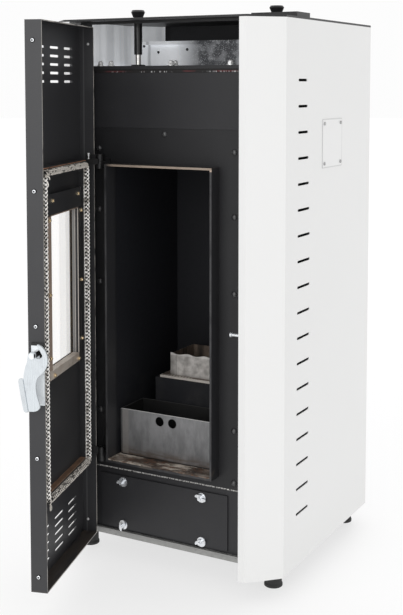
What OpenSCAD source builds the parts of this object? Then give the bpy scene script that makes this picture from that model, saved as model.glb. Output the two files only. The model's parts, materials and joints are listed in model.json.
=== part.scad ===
// Free-standing pellet boiler fireplace with its firebox door open.
// Millimetres, +Z up, front towards -Y, the floor at z = 0.

/* [Casing] */
// Overall width across the side panels
case_w = 510; // [470:10:560]
// Depth from the front strip of the side panels to the rear panel
case_d = 492; // [486:1:520]
// Height of the top edge of the side panels above the floor
case_h = 1090; // [1085:1:1110]
// Clear height under the casing, which is the height of the feet
foot_h = 40; // [25:1:60]
// Sheet thickness of the casing
sheet = 1.5; // [1:0.1:2.5]
// Half width of the front opening between the side panels
open_x = 186; // [184:0.5:192]
// Width of the flat front strip of each side panel
strip_w = 14; // [8:1:20]
// Depth of the sloped front corner of each side panel
corner_d = 54; // [40:1:70]
// Thickness of the top plate
top_t = 4; // [3:0.5:6]

/* [Side slots] */
// Number of cooling slots in each side panel
slot_n = 18; // [10:1:19]
// Height of one cooling slot
slot_h = 5; // [3:0.5:8]
// Height of the lowest cooling slot above the floor
slot_z0 = 143; // [110:1:180]
// Length of the lower cooling slots
slot_l = 58; // [44:1:80]
// Distance of the highest cooling slot below the side panels' top edge
slot_drop = 114; // [90:1:130]

/* [Front] */
// Distance of the front plate behind the side panels' front strip
plate_y = 50; // [46:1:56]
// Thickness of the front plate
plate_t = 4; // [3:0.5:6]
// Height of the front plate's lower edge
plate_z0 = 191; // [187:1:194]
// Distance of the front plate's upper seam below the side panels' top edge
seam_drop = 207; // [200:1:215]
// Distance of the upper panel's top edge below the side panels' top edge
panel_drop = 100; // [98:1:106]
// Thickness of the seal under the boiler's cover
seal_t = 7.5; // [5:0.5:9]
// Thickness of the boiler's cover
cover_t = 6.5; // [4:0.5:8]
// Half width of the firebox collar, outside
collar_x = 119.5; // [116:0.5:122]
// Height of the collar's lower outside edge
collar_z0 = 214.5; // [208:0.5:217]
// Distance of the collar's upper outside edge below the side panels' top edge
collar_drop = 278; // [272:1:290]
// Wall of the collar
collar_t = 4; // [3:0.5:6]
// Length that the collar stands out of the front plate
collar_l = 31; // [28:0.5:31.5]

/* [Door] */
// Width of the door pan
door_w = 284; // [278:1:288]
// Height of the door's lower edge
door_z0 = 58; // [50:1:70]
// Distance of the door's upper edge below the side panels' top edge
door_drop = 10; // [8:1:25]
// Depth of the door pan from its outer face to its rim
door_d = 31; // [28:0.5:33]
// Sheet thickness of the door pan
door_t = 2; // [1.5:0.1:2.5]
// Distance of the door's rim in front of the front plate when it is shut
rim_gap = 29.5; // [29:0.5:33]
// Distance of the hinge axis in front of the front plate
axis_gap = 18; // [17:0.5:20]
// Distance of the hinge axis inside the door's hinge edge
axis_in = 3; // [2:0.5:5]
// Angle at which the door stands open
door_open = 74.2; // [0:0.1:90]
// Height of the lower hinge
hinge_z0 = 224; // [210:1:235]
// Height of the upper hinge above the collar's upper edge
hinge_rise = 4; // [-6:1:16]
// Diameter of the hinge pin
pin_d = 8; // [6:0.5:9]
// Running clearance on the radius of pins and shafts
run = 0.08; // [0.05:0.01:0.1]
// Length of a vent slot in the door
vent_l = 47; // [40:1:50]
// Height of a vent slot in the door
vent_h = 4.5; // [3:0.5:7]
// Thickness of the door's glass
glass_t = 4; // [3:0.5:4.5]
// Diameter of the rope gasket
rope_d = 13; // [10:0.5:13.5]
// Half width of the window opening in the door's skin
win_x = 78; // [74:1:80]
// Height of the window opening's lower edge
win_z0 = 444; // [430:1:460]
// Distance of the window opening's upper edge below the side panels' top edge
win_drop = 360; // [350:1:370]

/* [Latch] */
// Distance of the handle's pivot below the middle screw of the door's edge
latch_drop = 45.4; // [30:0.1:60]
// Thickness of the handle plate
handle_t = 4; // [3:0.5:5]
// Distance of the handle plate from the door's edge
handle_off = 24; // [20:0.5:26]
// Diameter of the strike pin
strike_d = 6; // [5:0.5:7]

/* [Firebox] */
// Distance of the firebox's rear wall in front of the rear edge of the side panels
fire_back = 192; // [186:1:200]
// Distance of the firebox roof below the side panels' top edge
roof_drop = 230; // [220:1:240]
// Half width of the ash pan
pan_x = 110; // [98:0.5:111]
// Depth of the ash pan
pan_d = 85; // [75:1:86]
// Height of the ash pan
pan_h = 94; // [80:1:100]
// Thickness of the ash pan's sheet
pan_t = 2; // [1.5:0.1:3]
// Half width of the burn pot's wall
pot_x = 53; // [46:1:60]
// Distance of the burn pot's wall in front of the firebox's rear wall
pot_back = 41; // [38:1:50]
// Height of the burn pot's wall above its seat
pot_h = 51; // [36:1:56]

/* [Top] */
// Diameter of the pull rods
rod_d = 12; // [8:0.5:13]
// Diameter of the pull knobs at their widest
knob_d = 28; // [22:1:30]
// Width of the pellet lid
lid_w = 340; // [300:10:360]
// Depth of the pellet lid
lid_d = 200; // [170:5:205]

/* [Connections] */
// Outside diameter of the flue spigot
flue_d = 80; // [76:1:82]
// Length that the flue spigot stands out of the rear panel
flue_l = 55; // [40:1:80]
// Outside diameter of the water connections
water_d = 26.4; // [25:0.1:34]
// Outside diameter of the air inlet
air_d = 60; // [50:1:64]

/* [Hidden] */
$fn = 48;
eps = 0.01;
gap = 0.3;
front_y = -135;
half_w = case_w / 2;
strip_x = open_x + strip_w;
rear_flange = 40;
slot_top = case_h - slot_drop;
slot_pitch = (slot_top - slot_z0) / (slot_n - 1);
seam_z = case_h - seam_drop;
panel_z1 = case_h - panel_drop;
collar_z1 = case_h - collar_drop;
door_z1 = case_h - door_drop;
win_z1 = case_h - win_drop;
fire_z1 = case_h - roof_drop;
cover_z = panel_z1 + seal_t;
floor_z = cover_z + cover_t;
in_x = collar_x - collar_t;
fire_z0 = collar_z0 + collar_t;
fire_y0 = plate_y + plate_t;
fire_y1 = case_d - fire_back;
jacket_y1 = fire_y1 + 38;
jacket_x = 165;
wall = 5;
rim_y = plate_y - rim_gap;
skin_out = rim_y - door_d;
skin_y = skin_out + door_t;
half_door = door_w / 2;
hinge_p = [-half_door + axis_in, plate_y - axis_gap];
hinges = [hinge_z0, collar_z1 + hinge_rise];
knuckle_h = 14;
// Casing details
return_y = plate_y - 2;
slot_l0 = 40;
slot_grow = 3;
slot_y = 110;
hatch_drop = 238.5;
hatch_mid = [277, case_h - hatch_drop];
hatch_w = 102;
hatch_h = 97;
hatch_lap = 16;
hatch_t = 1;
hatch_screw = 4;
hatch_holes = [for (sy = [-1, 1], sz = [-1, 1])
    hatch_mid + [sy * (hatch_w / 2 - 9), sz * (hatch_h / 2 - 9)]];
rail_x = 184;
rail_y = plate_y - 14;
rail_h = 5;
rear_x = half_w - rear_flange + 12;
front_x = open_x - gap;
base_x = half_w - sheet - gap;
base_y0 = plate_y;
foot_x = half_w - 42;
foot_y = [100, case_d - 24];
strip_z0 = 52;
strip_h = 14;
step_d = 28;
// Front details
cover_mid = -5;
cover_x = 144.6;
cover_z0 = 71;
cover_z1 = 180;
wing_x = [-97, 83];
wing_z = [79, 167.5];
wing_spots = [[wing_x[0], wing_z[1], 30], [wing_x[1], wing_z[1], 55],
    [wing_x[0], wing_z[0], -35], [wing_x[1], wing_z[0], 20]];
bolt_z = [seam_z - 42, collar_z1 - 93, 573, 309, plate_z0 + 16.5];
bolt_spots = concat([[0, seam_z - 11]], [for (z = bolt_z, s = [-1, 1]) [s * 152, z]]);
cover_bolt_y = plate_y + 8;
cover_bolts_at = [[-152, cover_bolt_y], [-127, cover_bolt_y], [10, cover_bolt_y],
    [10, cover_bolt_y + 17], [139, cover_bolt_y]];
// Boiler details
jacket_z0 = 195;
tube_x = [-90, -30, 30, 90];
tube_y = 180;
tube_d = 50;
tube_l = 50;
pan_y0 = 60;
pan_holes = [-19.3, 9.7];
holder_x = 82;
holder_y0 = 150;
holder_y1 = fire_y1 - 14;
holder_z = 362;
pot_y0 = 162;
pot_y1 = fire_y1 - pot_back;
pot_d = pot_y1 - pot_y0;
flange_t = 5;
wave_h = 1.7;
pot_z = holder_z + gap;
igniter_x = 0;
igniter_z = 330;
igniter_d = 12;
// Feed and fan details
liner_x = 171.5;
liner_y1 = 186;
bend_l = 88;
bend_a = -35;
bend_end = bend_l * [-sin(bend_a), cos(bend_a)];
front_sheet_z = case_h - 34;
front_sheet_x = -liner_x + 26;
lid_back = 230;
lid_y = case_d - lid_back;
hop_x = half_w - 30;
hop_y0 = lid_y + 4;
hop_y1 = jacket_y1 + 8;
hop_side_z = panel_z1 - 90;
hop_back_z = panel_z1 - 230;
mouth_x = 24;
mouth_y = case_d - 94;
feed_z = 570;
feed_d = 60;
feed_y1 = case_d - 56;
feed_top = feed_z + feed_d / 2;
neck_z = feed_top + 30;
shaft_d = 12;
fan_x = -110;
flue_x = fan_x;
flue_z = 250;
fan_d = 160;
fan_y0 = case_d - 97;
fan_y1 = case_d - 42;
blade_n = 10;
duct_z0 = 288;
duct_z1 = 322;
air_x = 10;
air_z = 110;
water_x = 130;
water_z = [130, 430];
water_l = 25;
pump_y0 = jacket_y1 + 20;
pump_y1 = jacket_y1 + 100;
stub_y1 = jacket_y1 + 40;
mains_x = -175;
mains_z = 120;
mains_w = 50;
mains_h = 32;
// Top details
rod_x = -90;
rod_y = 100;
sleeve_d = 16.5;
damper_x = 200;
damper_y = 130;
damper_l = 110;
blade_l = 50;
guide = [[157, 108], [half_w - 3, 168]];
guide_t = 9;
lid_h = 10;
lid_lap = 14;
lid_axis_y = lid_y + lid_d + 8;
lid_pin = 6;
lid_x = 110;
// Door details
frame_in = 104;
frame_out = 125;
rope_x = 115;
rope_z = [collar_z0, collar_z1 - 1];
rope_y = plate_y - collar_l - gap - rope_d / 2;
lip_y = 9;
baffle_y = -1;
clamp_y = 8;
clamp_t = 1.5;
tun_x = 74;
tun_z = [win_z0 + 2, win_z1];
flange_w = 16;
plate_top = tun_z[1] + 40;
stud_d = 4.5;
stud_x = 86;
stud_z = [tun_z[0] + 26, (tun_z[0] + tun_z[1]) / 2, tun_z[1] - 6];
stud_spots = concat([for (s = [-1, 1], z = stud_z) [s * stud_x, z]],
    [for (s = [-1, 1]) [s * 70, tun_z[1] + 28]], [for (s = [-1, 1]) [s * 66, tun_z[0] - 10]]);
vent_x = [-75, 0, 75];
vent_top = [for (i = [0 : 4]) door_z1 - 44 - 15.7 * i];
vent_low = [for (i = [0 : 4]) door_z0 + 89 - 15.6 * i];
edge_at = [0.035, 0.292, 0.526, 0.759, 0.972];
edge_screws = [for (t = edge_at) door_z1 - t * (door_z1 - door_z0)];
edge_y = 4;
// Latch details
latch_y = 8;
latch_z = edge_screws[2] - latch_drop;
latch_plate_z = [latch_z - 95, latch_z + 17];
strike_y = 19.5;
strike_z = latch_z + 5.5;
// Handle outline about its pivot: distance towards the boiler, then height
fold = [[-17, -43], [-8, -99.7]];
fold_a = -35;
hook_outer = [[9, 20.3], [16.2, 17.2], [22.6, 10.5], [26.3, 2.2], [27.4, -8.3], [26.3, -16.5],
    [22.6, -24.8], [16.2, -31.7], [10, -37.3], [6.3, -45.6], [5.2, -56.1], [6.3, -66.4],
    [8.9, -76.7], [11.6, -85.1], [12.2, -92.3], [8, -97], [1.6, -99.2]];
hook_back = [[-16.8, -35], [-13.7, -21], [-10.5, -12.5], [-9.2, -4], [-7.5, 2], [-3.8, 5.5],
    [1.6, 6.4]];
hook_slot = [[5.4, 4], [5.8, -3], [12.2, -5], [17.9, -0.9], [16.8, 4], [12.2, 11.7], [8.4, 17]];
tab_edge = [[-10, 1], [-15, -5], [-15, -30], [-14, -50], [-12, -58], [-6, -60]];
strike_x = half_door + handle_off - 6;
groove = rope_d / 2 + 0.5;
knob_z = case_h + 11;
scraper_z = fire_z1 + wall + tube_l + 25;
guide_top = case_h + top_t + guide_t;

// Places a piece of the casing in the part's own frame
module body() {
    translate([0, front_y, 0]) children();
}

// Turns a piece of the shut door to where the door stands open
module on_door() {
    body()
        translate([hinge_p[0], hinge_p[1], 0]) rotate(-door_open)
            translate([-hinge_p[0], -hinge_p[1], 0]) children();
}

// Box given by its low and high corners
module span(lo, hi) {
    translate(lo) cube(hi - lo);
}

// Flat shape drawn in X and Z, thickened from y0 to y1
module front_face(y0, y1) {
    translate([0, y1, 0]) rotate([90, 0, 0]) linear_extrude(y1 - y0) children();
}

// Flat shape drawn in Y and Z, thickened from x0 to x1
module side_face(x0, x1) {
    translate([x0, 0, 0]) rotate([90, 0, 90]) linear_extrude(x1 - x0) children();
}

// Slot with round ends, centred, drawn flat
module slot_shape(l, h) {
    square([l - h, h], center = true);
    for (s = [-1, 1]) translate([s * (l - h) / 2, 0]) circle(d = h);
}

// Rectangle given by its low and high corners, drawn flat
module rect(x0, z0, x1, z1) {
    translate([x0, z0]) square([x1 - x0, z1 - z0]);
}

// Rectangle with round corners, centred, drawn flat
module round_rect(w, h, r) {
    square([w - 2 * r, h], center = true);
    square([w, h - 2 * r], center = true);
    for (sx = [-1, 1], sy = [-1, 1])
        translate([sx * (w / 2 - r), sy * (h / 2 - r)]) circle(r);
}

// Round bar along Y from y0 to y1
module bar_y(x, z, d, y0, y1) {
    translate([x, y1, z]) rotate([90, 0, 0]) cylinder(d = d, h = y1 - y0);
}

// Domed screw head that points towards -Y, seated at y
module dome_head(x, z, y, d, h) {
    translate([x, y, z]) rotate([90, 0, 0]) rotate_extrude()
        polygon([for (a = [0 : 15 : 90]) [d / 2 * cos(a), h * sin(a)], [0, 0]]);
}

// Round pull knob: an inverted cone with a bevelled rim, its base at the origin
module knob(d, h) {
    rotate_extrude() polygon([[0, 0], [d * 0.36, 0], [d / 2, h * 0.72], [d / 2 - 1, h * 0.84],
        [d * 0.42, h], [0, h]]);
}

// Casing

// Cross-section of one side panel, bent from sheet
module side_profile() {
    a = atan2(corner_d, half_w - strip_x);
    polygon([[open_x, return_y], [open_x, 0], [strip_x, 0], [half_w, corner_d],
        [half_w, case_d], [half_w - rear_flange, case_d], [half_w - rear_flange, case_d - sheet],
        [half_w - sheet, case_d - sheet], [half_w - sheet, corner_d + sheet * tan(45 - a / 2)],
        [strip_x - sheet * tan(a / 2), sheet], [open_x + sheet, sheet],
        [open_x + sheet, return_y]]);
}

// Length of the cooling slot with index i, counted from the top
function slot_len(i) = min(slot_l, slot_l0 + slot_grow * i);

// Right side panel, also the mirror image of the left one
module side_panel(hatch) {
    difference() {
        translate([0, 0, foot_h]) linear_extrude(case_h - foot_h) side_profile();
        for (i = [0 : slot_n - 1])
            side_face(half_w - corner_d / 2, half_w + 1)
                translate([slot_y + slot_len(i) / 2, slot_top - slot_pitch * i])
                    slot_shape(slot_len(i), slot_h);
        if (hatch)
            side_face(half_w - 4, half_w + 1) translate(hatch_mid)
                square([hatch_w - 2 * hatch_lap, hatch_h - 2 * hatch_lap], center = true);
        for (p = hatch ? hatch_holes : [])
            side_face(half_w - 4, half_w + 1) translate(p) circle(d = hatch_screw + 2 * gap);
    }
}

module side_panel_left() {
    color([0.93, 0.93, 0.92]) body() mirror([1, 0, 0]) side_panel(false);
}

module side_panel_right() {
    color([0.93, 0.93, 0.92]) body() side_panel(true);
}

module access_cover() {
    color([0.93, 0.93, 0.92]) body() difference() {
        side_face(half_w, half_w + hatch_t) translate(hatch_mid) round_rect(hatch_w, hatch_h, 3);
        for (p = hatch_holes)
            side_face(half_w - 1, half_w + 4) translate(p) circle(d = hatch_screw + gap);
    }
}

module access_screws() {
    color([0.8, 0.8, 0.82]) body() for (p = hatch_holes) {
        side_face(half_w - 6, half_w + hatch_t) translate(p) circle(d = hatch_screw);
        side_face(half_w + hatch_t, half_w + hatch_t + 1.6) translate(p) circle(d = 7);
    }
}

// Outline of the casing seen from above
module case_outline() {
    polygon([[-strip_x, 0], [strip_x, 0], [half_w, corner_d], [half_w, case_d],
        [-half_w, case_d], [-half_w, corner_d]]);
}

module top_plate() {
    color([0.1, 0.1, 0.11]) body() difference() {
        translate([0, 0, case_h]) linear_extrude(top_t) case_outline();
        translate([-lid_w / 2 + lid_lap, lid_y + lid_lap, case_h - 1])
            cube([lid_w - 2 * lid_lap, lid_d - 2 * lid_lap, top_t + 2]);
        translate([rod_x, rod_y, case_h - 1]) cylinder(d = sleeve_d + 1, h = top_t + 2);
        translate([damper_x, damper_y, case_h - 1]) cylinder(d = rod_d + 2, h = top_t + 2);
    }
}

module top_rail() {
    color([0.12, 0.12, 0.13]) body() {
        span([-rail_x, rail_y, case_h - rail_h], [rail_x, rail_y + sheet, case_h - sheet]);
        span([-rail_x, rail_y, case_h - sheet], [rail_x, rail_y + 18, case_h]);
    }
}

module rear_panel() {
    color([0.82, 0.82, 0.84]) body() difference() {
        span([-rear_x, case_d - 2 * sheet, foot_h + 3], [rear_x, case_d - sheet, case_h]);
        bar_y(flue_x, flue_z, flue_d + 4, case_d - 9, case_d + 1);
        bar_y(air_x, air_z, air_d + 4, case_d - 9, case_d + 1);
        for (z = water_z) bar_y(water_x, z, water_d + 4, case_d - 9, case_d + 1);
        front_face(case_d - 9, case_d + 1) translate([mains_x, mains_z])
            square([mains_w - 6, mains_h - 6], center = true);
        for (i = [0 : 5], s = [-1, 1])
            front_face(case_d - 9, case_d + 1) translate([s * 90, case_h - 330 + 30 * i])
                slot_shape(110, 6);
    }
}

module base_pan() {
    color([0.13, 0.13, 0.14]) body() {
        translate([0, 0, foot_h]) linear_extrude(3)
            rect(-base_x, base_y0 + step_d, base_x, case_d - 2 * sheet - gap);
        span([-front_x, base_y0 + step_d, foot_h + 3], [front_x, base_y0 + step_d + 3, strip_z0 + 3]);
        span([-front_x, base_y0, strip_z0], [front_x, base_y0 + step_d, strip_z0 + 3]);
        difference() {
            span([-front_x, base_y0, strip_z0 + 3], [front_x, base_y0 + 3, plate_z0 - gap]);
            span([cover_mid - cover_x + 16, base_y0 - 1, cover_z0 + 24],
                [cover_mid + cover_x - 16, base_y0 + 4, cover_z1 - 28]);
            for (p = wing_spots) bar_y(p[0], p[1], 6 + 2 * gap, base_y0 - 1, base_y0 + 4);
        }
        for (s = [-1, 1])
            span([s * 140 - 10, base_y0 + step_d, foot_h + 3], [s * 140 + 10, jacket_y1, jacket_z0]);
    }
}

module base_strip() {
    color([0.7, 0.7, 0.7]) body() {
        span([-front_x, base_y0 - sheet, strip_z0], [front_x, base_y0, strip_z0 + strip_h]);
        span([-front_x, base_y0 - 7, strip_z0 + strip_h - sheet],
            [front_x, base_y0 - sheet, strip_z0 + strip_h]);
    }
}

module feet() {
    color([0.09, 0.09, 0.09]) body() for (s = [-1, 1], y = foot_y)
        translate([s * foot_x, y, 0]) rotate_extrude()
            polygon([[0, 0], [17, 0], [18, 1], [18, 5], [16.5, 8], [16.5, foot_h - 3],
                [15.5, foot_h], [0, foot_h]]);
}

// Front of the boiler

module front_plate() {
    color([0.12, 0.12, 0.13]) body() difference() {
        span([-front_x, plate_y, plate_z0], [front_x, fire_y0, seam_z - gap]);
        span([-in_x, plate_y - 1, fire_z0], [in_x, fire_y0 + 1, collar_z1 - collar_t]);
        for (p = bolt_spots) bar_y(p[0], p[1], 6 + gap, plate_y - 1, fire_y0 + 1);
    }
}

module upper_panel() {
    color([0.12, 0.12, 0.13]) body()
        span([-front_x, plate_y, seam_z], [front_x, fire_y0, panel_z1]);
}

module firebox_collar() {
    color([0.12, 0.12, 0.13]) body() front_face(plate_y - collar_l, plate_y) difference() {
        rect(-collar_x, collar_z0, collar_x, collar_z1);
        rect(-in_x, fire_z0, in_x, collar_z1 - collar_t);
    }
}

module boiler_cover() {
    color([0.14, 0.14, 0.15]) body() difference() {
        union() {
            span([-jacket_x - 15, plate_y - 1, cover_z], [jacket_x + 15, jacket_y1 + 5, floor_z]);
            translate([rod_x, rod_y, floor_z - 1]) cylinder(d = 28, h = 4);
        }
        translate([rod_x, rod_y, cover_z - 1]) cylinder(r = rod_d / 2 + run, h = cover_t + 6);
        for (p = cover_bolts_at)
            translate([p[0], p[1], cover_z - 1]) cylinder(d = 6 + gap, h = cover_t + 2);
    }
}

module cover_seal() {
    color([0.28, 0.1, 0.09]) body() difference() {
        span([-jacket_x - 13, plate_y + 1, panel_z1], [jacket_x + 13, jacket_y1 + 3, cover_z]);
        span([-jacket_x + 12, fire_y0 + 14, panel_z1 - 1], [jacket_x - 12, jacket_y1 - 20, cover_z + 1]);
        for (p = cover_bolts_at)
            translate([p[0], p[1], panel_z1 - 1]) cylinder(d = 6 + gap, h = seal_t + 2);
    }
}

module cover_bolts() {
    color([0.78, 0.79, 0.8]) body() for (p = cover_bolts_at)
        translate([p[0], p[1], 0]) {
            translate([0, 0, panel_z1 + 1]) cylinder(d = 6, h = seal_t + cover_t + 2);
            translate([0, 0, floor_z]) cylinder(d = 14, h = 1.2);
            translate([0, 0, floor_z + 1.2]) cylinder(d = 12, h = 4.4, $fn = 6);
            translate([0, 0, floor_z + 5.6]) rotate_extrude()
                polygon([for (a = [0 : 15 : 90]) [5 * cos(a), 5 * sin(a)], [0, 0]]);
        }
}

module plate_bolts() {
    color([0.1, 0.1, 0.1]) body() for (p = bolt_spots) {
        bar_y(p[0], p[1], 6, plate_y, fire_y0 + 2);
        dome_head(p[0], p[1], plate_y, 12, 4.5);
    }
}

// Outline of the lower cover, drawn in by t
module cover_outline(t) {
    rect(cover_mid - cover_x + t, cover_z0 + t, cover_mid + cover_x - t, cover_z1 - t);
}

module lower_cover() {
    color([0.12, 0.12, 0.13]) body() difference() {
        union() {
            front_face(base_y0 - 3, base_y0 - 1) cover_outline(0);
            front_face(base_y0 - 1 - eps, base_y0) difference() {
                cover_outline(0);
                cover_outline(2);
            }
        }
        for (p = wing_spots) bar_y(p[0], p[1], 6 + gap, base_y0 - 9, base_y0 + 1);
    }
}

// Wing nut on its stud, seen from the front
module wing_nut() {
    rotate([90, 0, 0]) {
        cylinder(d = 19, h = 1.4);
        translate([0, 0, 1.4]) cylinder(d = 9.5, h = 6);
        translate([0, 0, -8]) cylinder(d = 6, h = 20);
    }
    for (s = [-1, 1]) rotate([0, 90 - s * 90, 0]) translate([0, -4, 0]) rotate([90, 0, 0])
        linear_extrude(2) polygon([[0, -4], [4.5, -4], [9.5, 2], [10, 7], [8, 9], [5.5, 7],
            [3.5, 4], [0, 4]]);
}

module wing_nuts() {
    color([0.8, 0.81, 0.83]) body() for (p = wing_spots)
        translate([p[0], base_y0 - 3, p[1]]) rotate([0, p[2], 0]) wing_nut();
}

// Boiler

module water_jacket() {
    color([0.2, 0.2, 0.21]) body() difference() {
        span([-jacket_x, fire_y0, jacket_z0], [jacket_x, jacket_y1, panel_z1]);
        span([-jacket_x + 3, fire_y0 - 1, jacket_z0 + 3], [jacket_x - 3, jacket_y1 - 3, panel_z1 - 3]);
        span([-jacket_x + 14, fire_y0 + 16, panel_z1 - 4], [jacket_x - 14, jacket_y1 - 22, panel_z1 + 1]);
        bar_y(0, feed_z, feed_d + 2 * gap, jacket_y1 - 9, jacket_y1 + 1);
        bar_y(igniter_x, igniter_z, igniter_d + 2 * gap, jacket_y1 - 9, jacket_y1 + 1);
        for (z = water_z) bar_y(water_x, z, water_d - 6, jacket_y1 - 9, jacket_y1 + 1);
        span([fan_x - 30, jacket_y1 - 9, duct_z0 + 2], [fan_x + 30, jacket_y1 + 1, duct_z1 - 2]);
    }
}

module firebox_shell() {
    color([0.13, 0.12, 0.12]) body() difference() {
        span([-in_x - wall, fire_y0, fire_z0 - wall], [in_x + wall, fire_y1 + wall, fire_z1 + wall]);
        span([-in_x, fire_y0 - 1, fire_z0], [in_x, fire_y1, fire_z1]);
        bar_y(0, feed_z, feed_d + 2 * gap, fire_y1 - 1, fire_y1 + wall + 1);
        bar_y(igniter_x, igniter_z, igniter_d + 2 * gap, fire_y1 - 1, fire_y1 + wall + 1);
        for (x = tube_x) translate([x, tube_y, fire_z1 - 1]) cylinder(d = tube_d - 4, h = wall + 2);
    }
}

module smoke_tubes() {
    color([0.3, 0.28, 0.26]) body() for (x = tube_x) translate([x, tube_y, fire_z1 + wall])
        difference() {
            cylinder(d = tube_d, h = tube_l);
            translate([0, 0, -1]) cylinder(d = tube_d - 4, h = tube_l + 2);
        }
}

module sill_plate() {
    color([0.45, 0.36, 0.28]) body()
        span([-in_x + gap, plate_y - collar_l + 1, fire_z0], [in_x - gap, holder_y0 - gap, fire_z0 + 2]);
}

module pot_holder() {
    color([0.13, 0.13, 0.14]) body() difference() {
        span([-holder_x, holder_y0, fire_z0], [holder_x, holder_y1, holder_z]);
        span([-holder_x + 3, holder_y0 + 3, fire_z0 + 3], [holder_x - 3, holder_y1 - 3, holder_z - 3]);
        span([-pot_x + 4, pot_y0 + 4, holder_z - 4], [pot_x - 4, pot_y1 - 4, holder_z + 1]);
        bar_y(igniter_x, igniter_z, igniter_d + 2 * gap, holder_y1 - 4, holder_y1 + 1);
    }
}

module igniter() {
    color([0.75, 0.75, 0.76]) body() {
        bar_y(igniter_x, igniter_z, igniter_d, holder_y1 - 15, jacket_y1 + 2);
        bar_y(igniter_x, igniter_z, igniter_d + 8, jacket_y1, jacket_y1 + 12);
    }
}

// Upper compartment and pellet feed

module compartment_liner() {
    color([0.72, 0.73, 0.74]) body() {
        span([-liner_x, plate_y + 8, floor_z], [-liner_x + 12, liner_y1 - 2, floor_z + sheet]);
        translate([-liner_x, liner_y1, floor_z]) linear_extrude(case_h - gap - floor_z)
            polygon([[0, plate_y + 8 - liner_y1], [0, 0], bend_end,
                bend_end + sheet * [cos(bend_a), sin(bend_a)], [sheet, sheet * tan(bend_a / 2)],
                [sheet, plate_y + 8 - liner_y1]]);
    }
}

module hopper_front() {
    color([0.72, 0.73, 0.74]) body() {
        span([front_sheet_x, liner_y1 - sheet, floor_z], [jacket_x, liner_y1, front_sheet_z]);
        span([front_sheet_x, liner_y1 - 9, front_sheet_z - sheet], [jacket_x, liner_y1, front_sheet_z]);
        span([front_sheet_x, liner_y1 - 9, front_sheet_z - 7],
            [jacket_x, liner_y1 - 9 + sheet, front_sheet_z]);
    }
}

// Side view of the hopper: t is how far the outline is drawn in, up how far it rises
module hopper_side(t, up) {
    polygon([[hop_y0 + t, case_h + up], [hop_y0 + t, floor_z + 4 + t], [hop_y1 + t, floor_z + 4 + t],
        [hop_y1 + t, hop_back_z], [mouth_y - 22 + t, feed_top - up], [mouth_y + 22 - t, feed_top - up],
        [case_d - 8 - t, hop_back_z], [case_d - 8 - t, case_h + up]]);
}

// Front view of the hopper, drawn in by t
module hopper_view(t, up) {
    polygon([[-hop_x + t, case_h + up], [-hop_x + t, hop_side_z], [-mouth_x + t, neck_z],
        [-mouth_x + t, feed_top - up], [mouth_x - t, feed_top - up], [mouth_x - t, neck_z],
        [hop_x - t, hop_side_z], [hop_x - t, case_h + up]]);
}

module hopper() {
    color([0.7, 0.71, 0.72]) body() difference() {
        intersection() {
            side_face(-hop_x, hop_x) hopper_side(0, 0);
            front_face(hop_y0, case_d) hopper_view(0, 0);
        }
        intersection() {
            side_face(-hop_x, hop_x) hopper_side(sheet, 1);
            front_face(hop_y0, case_d) hopper_view(sheet, 1);
        }
    }
}

module feed_tube() {
    color([0.6, 0.6, 0.61]) body() difference() {
        union() {
            bar_y(0, feed_z, feed_d, fire_y1 - 6, feed_y1);
            span([-mouth_x - 2, mouth_y - 24, feed_z], [mouth_x + 2, mouth_y + 24, feed_top]);
        }
        bar_y(0, feed_z, feed_d - 4, fire_y1 - 7, feed_y1 + 1);
        span([-mouth_x + 2, mouth_y - 20, feed_z], [mouth_x - 2, mouth_y + 20, feed_top + 1]);
    }
}

module feed_motor() {
    color([0.25, 0.25, 0.27]) body() difference() {
        union() {
            bar_y(0, feed_z, feed_d + 12, feed_y1, feed_y1 + 4);
            span([-32, feed_y1 + 4, feed_z - 42], [32, feed_y1 + 24, feed_z + 22]);
            bar_y(0, feed_z - 18, 40, feed_y1 + 24, case_d - 12);
        }
        bar_y(0, feed_z, shaft_d + 2 * run, feed_y1 - 1, feed_y1 + 16);
    }
}

module feed_screw() {
    color([0.65, 0.65, 0.66]) body() {
        bar_y(0, feed_z, shaft_d, fire_y1 + 2, feed_y1 + 15);
        translate([0, feed_y1 - 6, feed_z]) rotate([90, 0, 0])
            linear_extrude(feed_y1 - fire_y1 - 14, twist = 360 * 3, slices = 27, $fn = 24)
                translate([0, -2]) square([feed_d / 2 - 4, 4]);
    }
}

// Smoke fan and connections

module fan_housing() {
    color([0.55, 0.56, 0.57]) body() difference() {
        union() {
            bar_y(fan_x, flue_z, fan_d, fan_y0, fan_y1);
            bar_y(fan_x, flue_z, 56, jacket_y1 + 4, fan_y0 + 1);
            span([fan_x - 32, jacket_y1, duct_z0], [fan_x + 32, fan_y0 + 1, duct_z1]);
        }
        bar_y(fan_x, flue_z, fan_d - 4, fan_y0 + 2, fan_y1 - 2);
        bar_y(fan_x, flue_z, shaft_d + 2 * run, fan_y0 - 20, fan_y0 + 3);
        bar_y(fan_x, flue_z, flue_d - 4, fan_y1 - 3, fan_y1 + 1);
        span([fan_x - 30, jacket_y1 - 1, duct_z0 + 2], [fan_x + 30, fan_y0 + 3, duct_z1 - 2]);
    }
}

module fan_wheel() {
    color([0.7, 0.7, 0.72]) body() {
        bar_y(fan_x, flue_z, shaft_d, fan_y0 - 19, fan_y0 + 24);
        bar_y(fan_x, flue_z, 30, fan_y0 + 6, fan_y0 + 24);
        bar_y(fan_x, flue_z, fan_d - 24, fan_y0 + 6, fan_y0 + 8);
        for (i = [0 : blade_n - 1])
            translate([fan_x, fan_y0 + 7, flue_z]) rotate([0, i * 360 / blade_n, 0])
                translate([14, 0, -1]) cube([fan_d / 2 - 28, 26, 2]);
    }
}

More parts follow.
